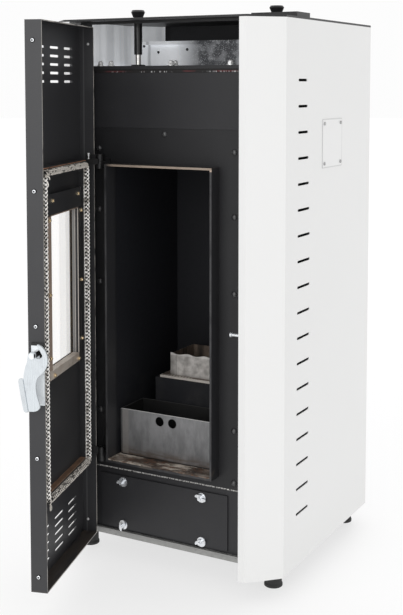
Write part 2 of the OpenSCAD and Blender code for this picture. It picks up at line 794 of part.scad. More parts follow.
module flue_spigot() {
    color([0.6, 0.61, 0.62]) body() difference() {
        union() {
            bar_y(fan_x, flue_z, flue_d, fan_y1, case_d + flue_l);
            bar_y(fan_x, flue_z, flue_d + 16, fan_y1, fan_y1 + 3);
        }
        bar_y(fan_x, flue_z, flue_d - 4, fan_y1 - 1, case_d + flue_l + 1);
    }
}

module air_inlet() {
    color([0.6, 0.61, 0.62]) body() difference() {
        union() {
            bar_y(air_x, air_z, air_d, case_d - 60, case_d + 24);
            bar_y(air_x, air_z, air_d + 20, case_d - 2 * sheet - 3, case_d - 2 * sheet);
        }
        bar_y(air_x, air_z, air_d - 4, case_d - 61, case_d + 25);
    }
}

// Water pipe at height z from y0 to y1, with a flange of thickness t at its front end
module water_pipe(z, y0, y1, t) {
    difference() {
        union() {
            bar_y(water_x, z, water_d, y0, y1);
            if (t > 0) bar_y(water_x, z, water_d + 12, y0, y0 + t);
        }
        bar_y(water_x, z, water_d - 6, y0 - 1, y1 + 1);
    }
}

module water_pipes() {
    color([0.72, 0.7, 0.62]) body() {
        water_pipe(water_z[0], jacket_y1, stub_y1, 6);
        water_pipe(water_z[0], pump_y1, case_d + water_l, 0);
        water_pipe(water_z[1], jacket_y1, case_d + water_l, 6);
    }
}

module circulation_pump() {
    color([0.2, 0.24, 0.3]) body() difference() {
        union() {
            bar_y(water_x, water_z[0], water_d + 22, pump_y0, pump_y1);
            translate([water_x, pump_y0 + 40, water_z[0]]) cylinder(d = 60, h = 66);
            translate([water_x - 30, pump_y0 + 10, water_z[0] + 66]) cube([60, 60, 30]);
        }
        bar_y(water_x, water_z[0], water_d + 2 * gap, pump_y0 - 1, stub_y1 + 1);
        bar_y(water_x, water_z[0], water_d - 6, stub_y1, pump_y1 + 1);
    }
}

module mains_inlet() {
    color([0.08, 0.08, 0.08]) body() difference() {
        union() {
            front_face(case_d - sheet, case_d + 2) translate([mains_x, mains_z])
                round_rect(mains_w, mains_h, 3);
            front_face(case_d - 22, case_d) translate([mains_x, mains_z])
                square([mains_w - 8, mains_h - 8], center = true);
        }
        front_face(case_d - 18, case_d + 3) translate([mains_x, mains_z])
            square([24, 17], center = true);
    }
}

// Hinges, strike and top fittings of the casing

module hinge_brackets() {
    color([0.1, 0.1, 0.11]) body() for (z = hinges) translate([hinge_p[0], hinge_p[1], z]) {
        translate([0, 0, -knuckle_h]) cylinder(d = pin_d + 6, h = knuckle_h - gap);
        translate([0, 0, -2]) cylinder(d = pin_d, h = knuckle_h);
        span([-5, 0, -knuckle_h], [5, axis_gap - 4, -gap]);
        span([-6, axis_gap - 4, -knuckle_h - 8], [15, axis_gap, 6]);
    }
}

module strike_pin() {
    color([0.8, 0.81, 0.83]) body() {
        side_face(strike_x + 2, open_x) translate([strike_y, strike_z]) circle(d = strike_d);
        side_face(strike_x, strike_x + 3) translate([strike_y, strike_z]) circle(d = strike_d + 3.5);
    }
}

module guide_plate() {
    color([0.1, 0.1, 0.1]) body() difference() {
        span(concat(guide[0], case_h + top_t), concat(guide[1], case_h + top_t + guide_t));
        translate([damper_x, damper_y, case_h + top_t - 1])
            cylinder(r = rod_d / 2 + run, h = guide_t + 2);
    }
}

module lid_hinges() {
    color([0.1, 0.1, 0.11]) body() for (s = [-1, 1]) translate([s * lid_x, lid_axis_y, case_h + top_t]) {
        translate([-14, 0, lid_h / 2 + 1]) rotate([0, 90, 0]) cylinder(d = lid_pin, h = 28);
        for (e = [-14, 9]) {
            translate([e, -4, 0]) cube([5, 12, lid_h / 2 + 1]);
            translate([e, 0, lid_h / 2 + 1]) rotate([0, 90, 0]) cylinder(d = 9, h = 5);
        }
    }
}

module hopper_lid() {
    color([0.1, 0.1, 0.11]) body() {
        difference() {
            span([-lid_w / 2, lid_y, case_h + top_t + gap],
                [lid_w / 2, lid_y + lid_d, case_h + top_t + lid_h]);
            span([-lid_w / 2 + 2, lid_y + 2, case_h + top_t],
                [lid_w / 2 - 2, lid_y + lid_d - 2, case_h + top_t + lid_h - 2]);
        }
        for (s = [-1, 1]) translate([s * lid_x, lid_axis_y, case_h + top_t]) difference() {
            union() {
                translate([-8.5, 0, lid_h / 2 + 1]) rotate([0, 90, 0]) cylinder(d = 9, h = 17);
                translate([-8.5, -9, lid_h - 4]) cube([17, 9, 4]);
            }
            translate([-10, 0, lid_h / 2 + 1]) rotate([0, 90, 0])
                cylinder(r = lid_pin / 2 + run, h = 20);
        }
        translate([0, lid_y + 24, case_h + top_t + lid_h]) knob(knob_d, 8);
    }
}

// Door

module door_pan() {
    color([0.16, 0.16, 0.17]) on_door() difference() {
        span([-half_door, skin_out, door_z0], [half_door, rim_y, door_z1]);
        span([-half_door + door_t, skin_y, door_z0 + door_t],
            [half_door - door_t, rim_y + 1, door_z1 - door_t]);
        front_face(skin_out - 1, skin_y + 1) {
            rect(-win_x, win_z0, win_x, win_z1);
            for (x = vent_x, z = concat(vent_top, vent_low))
                translate([x, z]) slot_shape(vent_l, vent_h);
        }
        for (z = edge_screws) side_face(half_door - 3, half_door + 1)
            translate([edge_y, z]) circle(d = 4 + gap);
    }
}

module rope_frame() {
    color([0.13, 0.12, 0.12]) on_door() difference() {
        front_face(skin_y, lip_y) difference() {
            rect(-frame_out, rope_z[0] - 10, frame_out, rope_z[1] + 10);
            rect(-frame_in, rope_z[0] + 11, frame_in, rope_z[1] - 11);
        }
        front_face(rope_y - rope_d / 2 - gap, lip_y + 1) difference() {
            rect(-rope_x - groove, rope_z[0] - groove, rope_x + groove, rope_z[1] + groove);
            rect(-rope_x + groove, rope_z[0] + groove, rope_x - groove, rope_z[1] - groove);
        }
    }
}

module door_gasket() {
    color([0.62, 0.6, 0.56]) on_door() translate([0, rope_y, 0]) {
        for (s = [-1, 1]) translate([s * rope_x, 0, rope_z[0]])
            cylinder(d = rope_d, h = rope_z[1] - rope_z[0]);
        for (z = rope_z) translate([-rope_x, 0, z]) rotate([0, 90, 0])
            cylinder(d = rope_d, h = 2 * rope_x);
        for (s = [-1, 1], z = rope_z) translate([s * rope_x, 0, z]) sphere(d = rope_d);
    }
}

module door_baffle() {
    color([0.14, 0.14, 0.15]) on_door() difference() {
        span([-frame_in, baffle_y - 2, rope_z[0] + 11], [frame_in, baffle_y, rope_z[1] - 11]);
        span([-tun_x - 2 - gap, baffle_y - 3, tun_z[0] - 2 - gap],
            [tun_x + 2 + gap, baffle_y + 1, tun_z[1] + 2 + gap]);
    }
}

module door_glass() {
    color([0.9, 0.88, 0.82, 0.4]) on_door()
        span([-tun_x - 10, skin_y + gap, tun_z[0] - 12],
            [tun_x + 10, skin_y + gap + glass_t, tun_z[1] + 12]);
}

module glass_frame() {
    color([0.55, 0.53, 0.5]) on_door() difference() {
        union() {
            front_face(skin_y + 2 * gap + glass_t, clamp_y + clamp_t)
                rect(-tun_x - 2, tun_z[0] - 2, tun_x + 2, tun_z[1] + 2);
            front_face(clamp_y, clamp_y + clamp_t)
                rect(-tun_x - flange_w, tun_z[0] - flange_w, tun_x + flange_w, tun_z[1]);
        }
        front_face(skin_y, clamp_y + clamp_t + 1) rect(-tun_x, tun_z[0], tun_x, tun_z[1]);
        for (p = stud_spots) bar_y(p[0], p[1], stud_d + gap, clamp_y - 1, clamp_y + clamp_t + 1);
    }
}

module glass_clamp() {
    color([0.13, 0.13, 0.14]) on_door() difference() {
        front_face(clamp_y, clamp_y + clamp_t)
            rect(-tun_x - flange_w, tun_z[1] + 2 + gap, tun_x + flange_w, plate_top);
        for (p = stud_spots) bar_y(p[0], p[1], stud_d + gap, clamp_y - 1, clamp_y + clamp_t + 1);
    }
}

module brass_studs() {
    color([0.78, 0.62, 0.35]) on_door() for (p = stud_spots) {
        bar_y(p[0], p[1], stud_d, baffle_y, clamp_y + clamp_t + 4.5);
        bar_y(p[0], p[1], 7.5, clamp_y + clamp_t, clamp_y + clamp_t + 3);
    }
}

module door_screws() {
    color([0.8, 0.81, 0.83]) on_door() for (z = edge_screws) {
        side_face(half_door - 5, half_door + 0.5) translate([edge_y, z]) circle(d = 4);
        translate([half_door, edge_y, z]) rotate([0, 90, 0]) rotate_extrude()
            polygon([for (a = [0 : 15 : 90]) [4.5 * cos(a), 2.4 * sin(a)], [0, 0]]);
    }
}

module door_knuckles() {
    color([0.1, 0.1, 0.11]) on_door() for (z = hinges)
        translate([hinge_p[0], hinge_p[1], z]) difference() {
            union() {
                cylinder(d = pin_d + 6, h = knuckle_h);
                span([-axis_in + door_t, rim_y - hinge_p[1] - 16, 0],
                    [-axis_in + door_t + 3, 0, knuckle_h]);
            }
            translate([0, 0, -1]) cylinder(r = pin_d / 2 + run, h = knuckle_h + 2);
        }
}

// Latch

// Point at t of 0 to 1 between the second and third of four points, on a smooth curve
function curve_point(a, b, c, d, t) = ((2 * b) + (c - a) * t + (2 * a - 5 * b + 4 * c - d) * t * t
    + (3 * b - a - 3 * c + d) * t * t * t) / 2;

// Smooth open curve through a list of points, with n steps between each pair
function smooth(p, n) = [for (i = [0 : len(p) - 2], k = [0 : n - 1])
    curve_point(p[max(i - 1, 0)], p[i], p[i + 1], p[min(i + 2, len(p) - 1)], k / n), p[len(p) - 1]];

module latch_plate() {
    color([0.78, 0.79, 0.81]) on_door() {
        side_face(half_door, half_door + 3) difference() {
            rect(-4, latch_plate_z[0], 20, latch_plate_z[1]);
            translate([-4, latch_plate_z[0]]) rotate(-20) square([8, 40], center = true);
        }
        side_face(half_door + 3, half_door + handle_off - gap) translate([latch_y, latch_z])
            circle(d = 13);
        side_face(half_door + 3, half_door + handle_off + handle_t + 1) translate([latch_y, latch_z])
            circle(d = pin_d);
        side_face(half_door + handle_off + handle_t + gap, half_door + handle_off + handle_t + 4)
            translate([latch_y, latch_z]) circle(d = 11);
    }
}

module latch_handle() {
    color([0.8, 0.81, 0.83]) on_door()
        translate([half_door + handle_off, latch_y, latch_z]) {
            side_face(0, handle_t) difference() {
                polygon(concat(smooth(hook_outer, 3), [fold[1], fold[0]], smooth(hook_back, 3),
                    smooth(hook_slot, 3)));
                circle(r = pin_d / 2 + run);
            }
            translate([0, fold[0][0], fold[0][1]]) rotate([atan2(fold[1][0] - fold[0][0],
                fold[0][1] - fold[1][1]), 0, 0]) rotate([0, 0, fold_a])
                side_face(0, handle_t) polygon(concat([[0.5, 0]], smooth(tab_edge, 3), [[0.5, -57]]));
        }
}

// Pieces that lift or slide out

module ash_pan() {
    color([0.52, 0.51, 0.49]) body() translate([0, pan_y0, fire_z0 + 2 + gap]) difference() {
        span([-pan_x, 0, 0], [pan_x, pan_d, pan_h]);
        span([-pan_x + pan_t, pan_t, pan_t], [pan_x - pan_t, pan_d - pan_t, pan_h + 1]);
        for (x = pan_holes) bar_y(x, pan_h - 15.5, 19, -1, pan_t + 1);
    }
}

// Front wall with a wavy top edge, drawn flat, of length l and height h
module wavy_wall(l, h) {
    polygon(concat([[0, 0]], [for (i = [0 : 30]) [l * i / 30, h + wave_h * sin(101.5 + 31.2 * i)]],
        [[l, 0]]));
}

module burn_pot() {
    color([0.58, 0.55, 0.51]) body() translate([0, 0, pot_z]) {
        difference() {
            union() {
                span([-pot_x - 19, holder_y0 + 2, 0], [pot_x + 19, pot_y1 + 10, flange_t]);
                span([-pot_x + 5, pot_y0 + 5, -30], [pot_x - 5, pot_y1 - 5, 0]);
            }
            span([-pot_x + 7, pot_y0 + 7, -28], [pot_x - 7, pot_y1 - 7, flange_t + 1]);
            for (i = [0 : 14]) translate([-49 + 7 * i, holder_y0 + 7, -1])
                cylinder(d = 3.4, h = flange_t + 2);
            for (x = [-30 : 15 : 30], t = [0.2 : 0.2 : 0.8])
                translate([x, pot_y0 + t * pot_d, -31]) cylinder(d = 6, h = 4);
        }
        translate([-pot_x, 0, flange_t - 0.5]) front_face(pot_y0, pot_y0 + 2)
            wavy_wall(2 * pot_x, pot_h - flange_t);
        for (x = [-pot_x, pot_x - 2])
            span([x, pot_y0, flange_t - 0.5], [x + 2, pot_y1, pot_h - wave_h]);
        span([-pot_x, pot_y1 - 2, flange_t - 0.5], [pot_x, pot_y1, pot_h - wave_h]);
    }
}

module scraper_rod() {
    color([0.3, 0.3, 0.32]) body() translate([rod_x, rod_y, 0]) {
        cylinder_from(scraper_z, knob_z + 9, rod_d);
        difference() {
            cylinder_from(floor_z + 23, knob_z - 7, sleeve_d);
            cylinder_from(floor_z + 22, knob_z - 6, rod_d + 2 * gap);
        }
        difference() {
            translate([0, 0, knob_z]) knob(knob_d, 14);
            cylinder_from(knob_z - 1, knob_z + 9 + gap, rod_d + 2 * gap);
        }
        span([tube_x[0] - rod_x - 12, -12, scraper_z],
            [tube_x[3] - rod_x + 12, tube_y - rod_y + 12, scraper_z + 3]);
        for (x = tube_x) translate([x - rod_x, tube_y - rod_y, 0])
            cylinder_from(fire_z1 + wall + 8, scraper_z + 1, 8);
    }
}

module damper_rod() {
    color([0.12, 0.12, 0.13]) body() translate([damper_x, damper_y, 0]) {
        cylinder_from(case_h - damper_l, guide_top + 9, rod_d);
        difference() {
            translate([0, 0, guide_top + gap]) knob(knob_d, 13);
            cylinder_from(guide_top, guide_top + 9 + 2 * gap, rod_d + 2 * gap);
        }
        span([-18, -1, case_h - damper_l - blade_l], [22, 1, case_h - damper_l + 1]);
        cylinder_from(case_h - 50, case_h - 44, 18);
    }
}

// Upright round bar from height z0 to z1
module cylinder_from(z0, z1, d) {
    translate([0, 0, z0]) cylinder(d = d, h = z1 - z0);
}

side_panel_left();
side_panel_right();
access_cover();
access_screws();
top_plate();
top_rail();
rear_panel();
base_pan();
base_strip();
feet();
front_plate();
upper_panel();
firebox_collar();
boiler_cover();
cover_seal();
cover_bolts();
plate_bolts();
lower_cover();
wing_nuts();
water_jacket();
firebox_shell();
smoke_tubes();
sill_plate();
pot_holder();
compartment_liner();
hopper_front();
hopper();
feed_tube();
feed_motor();
feed_screw();
fan_housing();
fan_wheel();
flue_spigot();
air_inlet();
igniter();
water_pipes();
circulation_pump();
hinge_brackets();
strike_pin();
guide_plate();
lid_hinges();
mains_inlet();
door_pan();
door_baffle();
rope_frame();
door_gasket();
door_glass();
glass_frame();
glass_clamp();
brass_studs();
door_screws();
door_knuckles();
latch_plate();
latch_handle();
ash_pan();
burn_pot();
scraper_rod();
damper_rod();
hopper_lid();
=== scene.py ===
import json
import math
import random

import bpy
from mathutils import Matrix, Vector


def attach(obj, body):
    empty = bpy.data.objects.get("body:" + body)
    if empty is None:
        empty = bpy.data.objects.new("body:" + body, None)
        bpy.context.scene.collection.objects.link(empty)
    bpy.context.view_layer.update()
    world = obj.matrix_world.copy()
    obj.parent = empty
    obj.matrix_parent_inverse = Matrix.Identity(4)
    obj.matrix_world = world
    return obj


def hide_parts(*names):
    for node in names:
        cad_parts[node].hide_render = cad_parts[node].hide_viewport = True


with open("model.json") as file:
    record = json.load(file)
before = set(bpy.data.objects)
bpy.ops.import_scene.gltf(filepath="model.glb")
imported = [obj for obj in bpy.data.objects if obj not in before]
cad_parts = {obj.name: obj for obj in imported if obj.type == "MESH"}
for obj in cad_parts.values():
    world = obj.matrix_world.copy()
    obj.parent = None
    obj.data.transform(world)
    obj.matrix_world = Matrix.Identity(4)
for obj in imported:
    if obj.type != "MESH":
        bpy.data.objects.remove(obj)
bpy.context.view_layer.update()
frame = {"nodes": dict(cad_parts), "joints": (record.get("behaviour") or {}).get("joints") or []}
random.seed(11)


# Places

# The casing's front strips, measured from the frame's origin along Y.
FRONT_Y_MM = -135
CASING_SHEET_MM = 1.5
DOOR_SHEET_MM = 2


def joint(name):
    return next(j for j in frame["joints"] if j["name"] == name)


LATCH_Z_MM = joint("latch_lift")["pos_m"][2] * 1000
HINGE = Vector((joint("door_hinge")["pos_m"][0], joint("door_hinge")["pos_m"][1], 0))
DOOR_OPEN = math.radians(-joint("door_hinge")["range_deg"][0])


def body_point(x, y, z):
    """A place on the casing: millimetres from its centre line, its front strips and the floor."""
    return Vector((x, y + FRONT_Y_MM, z)) / 1000


def door_point(x, y, z):
    """A place on the shut door, in the casing's millimetres, turned to where the door stands open."""
    arm = body_point(x, y, z) - HINGE
    return HINGE + Matrix.Rotation(-DOOR_OPEN, 3, "Z") @ arm


def box_mm(node, door=False):
    """A node's lowest and highest corner in the casing's millimetres; on the door, as if it were shut."""
    shut = Matrix.Rotation(DOOR_OPEN if door else 0, 3, "Z")
    spots = [HINGE + shut @ (vertex.co - HINGE) for vertex in frame["nodes"][node].data.vertices]
    origin = Vector((0, FRONT_Y_MM, 0))
    return [Vector([pick(spot[k] for spot in spots) for k in range(3)]) * 1000 - origin for pick in (min, max)]


# Wires and nodes

class Wire:
    """An output socket of a material's nodes. Arithmetic on wires adds Math nodes."""

    def __init__(self, tree, socket=None):
        self.tree = tree
        self.socket = socket

    def node(self, kind, sockets=None, output=0, stops=None, **settings):
        """Adds any node: its settings and a ramp's stops first, then the values or wires of its sockets."""
        made = self.tree.nodes.new("ShaderNode" + kind)
        for setting, value in settings.items():
            setattr(made, setting, value)
        if stops:
            ramp = made.color_ramp.elements
            for place, colour in stops[1:-1]:
                ramp.new(place).color = (*colour, 1)
            for element, (place, colour) in zip((ramp[0], ramp[len(ramp) - 1]), (stops[0], stops[-1])):
                element.position, element.color = place, (*colour, 1)
        for name, value in (sockets or {}).items():
            if isinstance(value, Wire):
                self.tree.links.new(value.socket, made.inputs[name])
            else:
                made.inputs[name].default_value = value
        return Wire(self.tree, made.outputs[output] if made.outputs else None)

    def math(self, operation, first, second, clamp=False):
        return self.node("Math", {0: first, 1: second}, operation=operation, use_clamp=clamp)

    def __add__(self, other):
        return self.math("ADD", self, other)

    def __radd__(self, other):
        return self.math("ADD", other, self)

    def __sub__(self, other):
        return self.math("SUBTRACT", self, other)

    def __rsub__(self, other):
        return self.math("SUBTRACT", other, self)

    def __mul__(self, other):
        return self.math("MULTIPLY", self, other)

    def __rmul__(self, other):
        return self.math("MULTIPLY", other, self)

    def __truediv__(self, other):
        return self.math("DIVIDE", self, other)

    def __pow__(self, other):
        return self.math("POWER", self, other)

    def clamped(self):
        """The value, kept from 0 to 1."""
        return self.math("ADD", self, 0.0, clamp=True)

    def absolute(self):
        return self.math("ABSOLUTE", self, 0.0)

    def fraction(self):
        return self.math("FRACT", self, 0.0)

    def largest(self, other):
        return self.math("MAXIMUM", self, other)

    def step(self, low, high):
        """0 below low, 1 above high, smooth between; low may be the higher of the two."""
        return self.node("MapRange", {"Value": self, "From Min": low, "From Max": high},
                         interpolation_type="SMOOTHSTEP")

    def band(self, low, high, soft):
        """1 between low and high, with soft edges."""
        return self.step(low - soft, low + soft) * self.step(high + soft, high - soft)

    def axis(self, name):
        return self.node("SeparateXYZ", {"Vector": self}, output=name)

    def across(self):
        """Millimetres to the right of the casing's centre line."""
        return self.axis("X") * 1000

    def depth(self):
        """Millimetres behind the casing's front strips."""
        return self.axis("Y") * 1000 - FRONT_Y_MM

    def height(self):
        """Millimetres above the floor."""
        return self.axis("Z") * 1000

    def stretched(self, x, y, z):
        return self.node("VectorMath", {0: self, 1: (x, y, z)}, operation="MULTIPLY")

    def noise(self, per_metre, detail=2.0, roughness=0.5):
        return self.node("TexNoise", {"Vector": self, "Scale": per_metre, "Detail": detail,
                                      "Roughness": roughness}, output="Fac")

    def blend(self, first, second):
        """The colour first where the wire is 0, second where it is 1."""
        pair = [c if isinstance(c, Wire) else (*c, 1) for c in (first, second)]
        return self.node("Mix", {0: self, 6: pair[0], 7: pair[1]}, output=2, data_type="RGBA")


def start(name, door=False):
    """A new material, and the places on its pieces in metres; on the door, as if it were shut."""
    made = bpy.data.materials.new(name)
    made.use_nodes = True
    made.node_tree.nodes.clear()
    here = Wire(made.node_tree).node("TexCoord", output="Object")
    if door:
        here = here.node("VectorRotate", {"Vector": here, "Center": HINGE, "Axis": (0, 0, 1),
                                          "Angle": DOOR_OPEN}, rotation_type="AXIS_ANGLE")
    return made, here


def surface(made, here, colour, roughness, relief=None, relief_mm=0.1, **constants):
    """Closes a material: relief from 0 to 1 stands for relief_mm."""
    sockets = {"Base Color": colour if isinstance(colour, Wire) else (*colour, 1), "Roughness": roughness}
    sockets.update({name.replace("_", " "): value for name, value in constants.items()})
    if relief is not None:
        sockets["Normal"] = here.node("Bump", {"Height": relief, "Distance": relief_mm / 1000})
    shader = here.node("BsdfPrincipled", sockets)
    here.node("OutputMaterial", {"Surface": shader})
    return made


# White paint

PANEL_WHITE = (0.79, 0.79, 0.787)
# Width of the painted shade line along the access cover's edge.
SHADED_RIM_MM = 2


def white_paint(name, tint):
    """White powder coat, in the colour that tint(here) gives."""
    made, here = start(name)
    return surface(made, here, tint(here), 0.3 + 0.12 * here.noise(5, 3), here.noise(1400, 1), 0.012,
                   Coat_Weight=0.15, Coat_Roughness=0.2)


def greyer_low(here):
    """Faintly clouded, and a little grey near the floor."""
    low_grey = here.height().step(160, 30) * here.noise(60, 4)
    return (here.noise(5, 3) * 0.35 + low_grey * 0.25).clamped().blend(PANEL_WHITE, (0.74, 0.74, 0.73))


def cover_rim_shade(here):
    """The access cover's white, with a grey painted shade line along its edge, where the gap round the flush cover
    lies in shade.
    """
    low, high = box_mm("access_cover")
    face = (here.depth().band(low.y + SHADED_RIM_MM, high.y - SHADED_RIM_MM, 0.6)
            * here.height().band(low.z + SHADED_RIM_MM, high.z - SHADED_RIM_MM, 0.6))
    return face.blend((0.6, 0.6, 0.6), PANEL_WHITE)


# Black paint

def black_paint(name, base, lift, roughness, door=False, dust=0.25, gloss=0.5, extra=None):
    """Fine-textured heat-proof black paint with dust, rubs and a few bare specks.

    extra(here, paint) may lay more over the paint.
    """
    made, here = start(name, door)
    pebble = here.noise(520, 2)
    cloud = here.noise(9, 4, 0.6)
    speck = here.noise(330, 1).step(0.74, 0.8) * here.noise(14, 2).step(0.5, 0.7)
    tone = (cloud.step(0.35, 0.75) * dust + (pebble - 0.5) * 0.5).clamped()
    colour = speck.blend(tone.blend(base, lift), (0.1, 0.095, 0.09))
    if extra:
        colour = extra(here, colour)
    return surface(made, here, colour, roughness + 0.16 * cloud, pebble, 0.06, Specular_IOR_Level=gloss)


def edge_highlights_and_scorch(here, paint):
    """The door pan's bare sheet edge, drawn bright as a painted highlight and brightest beside the hinges, the
    brown scorch on its lower fold, and a painted highlight along its fold beside the hinges.
    """
    low, high = box_mm("door_pan", door=True)
    height = here.height()
    # The sheet edge: a painted highlight, broken in places.
    rim = here.depth().step(high.y - 0.4, high.y - 0.1)
    worn = rim * here.noise(45, 3).step(0.25, 0.55)
    fold_top = low.z + DOOR_SHEET_MM
    lower_fold = height.step(fold_top + 0.6, fold_top + 0.1) * height.step(fold_top - 1.5, fold_top - 0.5)
    brown = lower_fold * here.stretched(1, 4, 1).noise(18, 4, 0.6).step(0.25, 0.65)
    beside_hinges = here.across().step(low.x + 7, low.x + 3)
    # The fold beside the hinges: a painted highlight.
    fold_line = here.depth().band(-1.2, 1.2, 0.6) * beside_hinges
    scorched = (brown * 0.8).blend(paint, (0.075, 0.06, 0.048))
    lightened = (fold_line * 0.8).blend(scorched, (0.085, 0.085, 0.088))
    bare = beside_hinges.blend((0.4, 0.38, 0.35), (0.8, 0.76, 0.7))
    return (worn * 0.85).blend(lightened, bare)


def weld_seam(here, paint):
    """A line of bright weld ripples along the front plate's lower edge."""
    foot = box_mm("front_plate")[0].z
    seam = here.height().band(foot + 0.4, foot + 2.8, 0.4)
    ripple = here.stretched(1, 0.2, 0.2).noise(700, 1, 0.3).step(0.45, 0.52)
    dark_bed = (seam * 0.9).blend(paint, (0.006, 0.006, 0.006))
    return (seam * ripple).blend(dark_bed, (0.62, 0.61, 0.59))


def scorched_lip(here, paint):
    """Rust on the rope channel's inner lip at the foot, and a brown line over its head."""
    inner_foot = box_mm("door_baffle", door=True)[0].z
    outer_head = box_mm("rope_frame", door=True)[1].z
    height = here.height()
    fleck = here.stretched(0.4, 1, 1).noise(120, 4, 0.6)
    foot = height.band(inner_foot - 2, inner_foot + 0.7, 0.5) * here.across().absolute().step(106.5, 105.5)
    head = height.band(outer_head - 3.6, outer_head - 1.6, 0.4)
    rust = fleck.blend((0.05, 0.028, 0.018), (0.33, 0.2, 0.13))
    browned = (head * fleck.step(0.3, 0.45)).blend(paint, (0.4, 0.2, 0.12))
    return (foot * fleck.step(0.2, 0.4)).clamped().blend(browned, rust)


def hot_black():
    """The collar's paint, burnt along its top and bare along its upper front edge."""
    made, here = start("hot_black")
    low, high = box_mm("firebox_collar")
    height = here.height()
    pebble = here.noise(420, 3)
    patch = here.noise(17, 5, 0.65).step(0.34, 0.62)
    top = height.step(high.z - 4.5, high.z - 3) * patch
    front = here.depth().step(low.y + 1.2, low.y + 0.4)
    rim = front * here.noise(30, 3).step(0.3, 0.6)
    upper_edge = front * height.step(high.z - 7.5, high.z - 6.5) * here.across().step(low.x + 1.5, low.x + 21.5)
    foot = height.step(low.z + 25.5, low.z + 4.5) * here.noise(30, 4, 0.6).step(0.5, 0.62)
    paint = (pebble * 0.4).blend((0.02, 0.02, 0.022), (0.045, 0.045, 0.048))
    lightened = (rim * 0.5).blend(paint, (0.075, 0.075, 0.078))
    worn = (upper_edge * (0.6 + 0.4 * patch)).blend(lightened, (0.5, 0.4, 0.32))
    burnt = (top * 0.5).blend(worn, (0.05, 0.042, 0.036))
    colour = (foot * 0.6).blend(burnt, (0.1, 0.085, 0.07))
    return surface(made, here, colour, 0.45 + 0.3 * top, pebble, 0.1, Specular_IOR_Level=0.4)


# Zinc

SHADED_ZINC = (0.42, 0.43, 0.45)
NEAR_BLACK = (0.008, 0.008, 0.008)


def spangled_zinc(name="spangled_zinc", low=(0.6, 0.62, 0.65), high=(0.84, 0.86, 0.9), shade=None, metal=0.4,
                  lit=0.0):
    """Galvanised sheet with crystals of two greys. shade(here, zinc) may tone it; lit makes it glow faintly, a
    painted light.
    """
    made, here = start(name)
    cells = here.node("TexVoronoi", {"Vector": here, "Scale": 120.0}, output="Color")
    grey = cells.node("RGBToBW", {"Color": cells})
    smear = here.stretched(1, 1, 0.12).noise(70, 3)
    colour = (grey * 0.6 + smear * 0.4).blend(low, high)
    if shade:
        colour = shade(here, colour)
    constants = {"Emission_Color": colour, "Emission_Strength": lit} if lit else {}
    return surface(made, here, colour, 0.24 + 0.16 * grey + 0.1 * here.noise(40, 2), grey, 0.02,
                   Metallic=metal, **constants)


def sheet_painted_shade(here, zinc):
    """The sheet in front of the hopper: bright at its left, grey with painted shade in the middle, darker towards
    its right end with pale flecks, and a painted shadow along its fold.
    """
    across = here.across()
    # Painted shade: the sheet turns grey from its middle on.
    grey = across.step(-60, -20) * 0.8
    darker_right = across.step(-30, 15) * (0.3 + 0.7 * across.step(100, 84))
    cloudy = (darker_right * (0.7 + 0.4 * here.noise(42, 3).step(0.38, 0.6))).clamped()
    fleck = here.noise(420, 3, 0.6).step(0.56, 0.64) * here.noise(60, 2)
    dark = fleck.blend((0.06, 0.062, 0.068), (0.6, 0.62, 0.64))
    toned = cloudy.blend(grey.blend(zinc, SHADED_ZINC), dark)
    fold_shadow = across.band(-119, -112, 3) * 0.5
    return fold_shadow.blend(toned, (0.16, 0.165, 0.17))


def sheet_shade_bands(here, zinc):
    """The compartment's left sheet, in soft upright stripes of painted shade for the facets of its bends."""
    shade_bands = here.stretched(0, 1, 0).noise(34, 1).step(0.4, 0.6)
    return (shade_bands * 0.4).blend(zinc, SHADED_ZINC)


def bright_zinc(name="bright_zinc", high=(0.85, 0.87, 0.9), low=(0.55, 0.55, 0.55), door=False, metal=0.9,
                extra=None):
    """Plated steel with dull clouds. extra(here, zinc) may lay more over it."""
    made, here = start(name, door)
    brush = here.stretched(1, 1, 0.05).noise(900, 2)
    colour = here.noise(70, 4).step(0.45, 0.75).blend(high, low)
    if extra:
        colour = extra(here, colour)
    return surface(made, here, colour, 0.2 + 0.14 * brush, brush, 0.01, Metallic=metal)


def blackened_corner(here, zinc):
    """The latch plate's top and its corner beside the strike, painted black."""
    above_pivot = here.height() - LATCH_Z_MM
    corner = here.depth().step(11.5, 12.5) * above_pivot.step(-12, -10)
    return corner.largest(above_pivot.step(11.5, 12.5)).blend(zinc, NEAR_BLACK)


def socket_head(here, zinc):
    """An edge screw's dark socket and skirt, with its bright rim between them."""
    face = box_mm("door_screws", door=True)[1].x
    return here.across().band(face - 0.7, face - 0.2, 0.1).blend((0.02, 0.02, 0.02), zinc)


# Bare and burnt steel, brass

# The pull rod's sleeve begins this far above the compartment's floor.
SLEEVE_RISE_MM = 23


def plain_steel(name, low, high):
    made, here = start(name)
    grain = here.stretched(0.06, 1, 1).noise(700, 2)
    cloud = here.noise(22, 4, 0.6)
    colour = (cloud * 0.7 + grain * 0.3).blend(low, high)
    return surface(made, here, colour, 0.35 + 0.2 * cloud, grain, 0.02, Metallic=1.0)


def pull_rod():
    """A black knob and sleeve on a bright steel rod."""
    made, here = start("pull_rod")
    sleeve_foot = box_mm("compartment_liner")[0].z + SLEEVE_RISE_MM
    bare = here.height().step(sleeve_foot + 0.2, sleeve_foot - 0.4)
    grain = here.stretched(1, 1, 0.06).noise(800, 2)
    black = grain.blend((0.008, 0.008, 0.009), (0.018, 0.018, 0.019))
    colour = bare.blend(black, grain.blend((0.5, 0.49, 0.48), (0.85, 0.83, 0.8)))
    return surface(made, here, colour, 0.28 - 0.1 * bare, grain, 0.01, Metallic=bare)


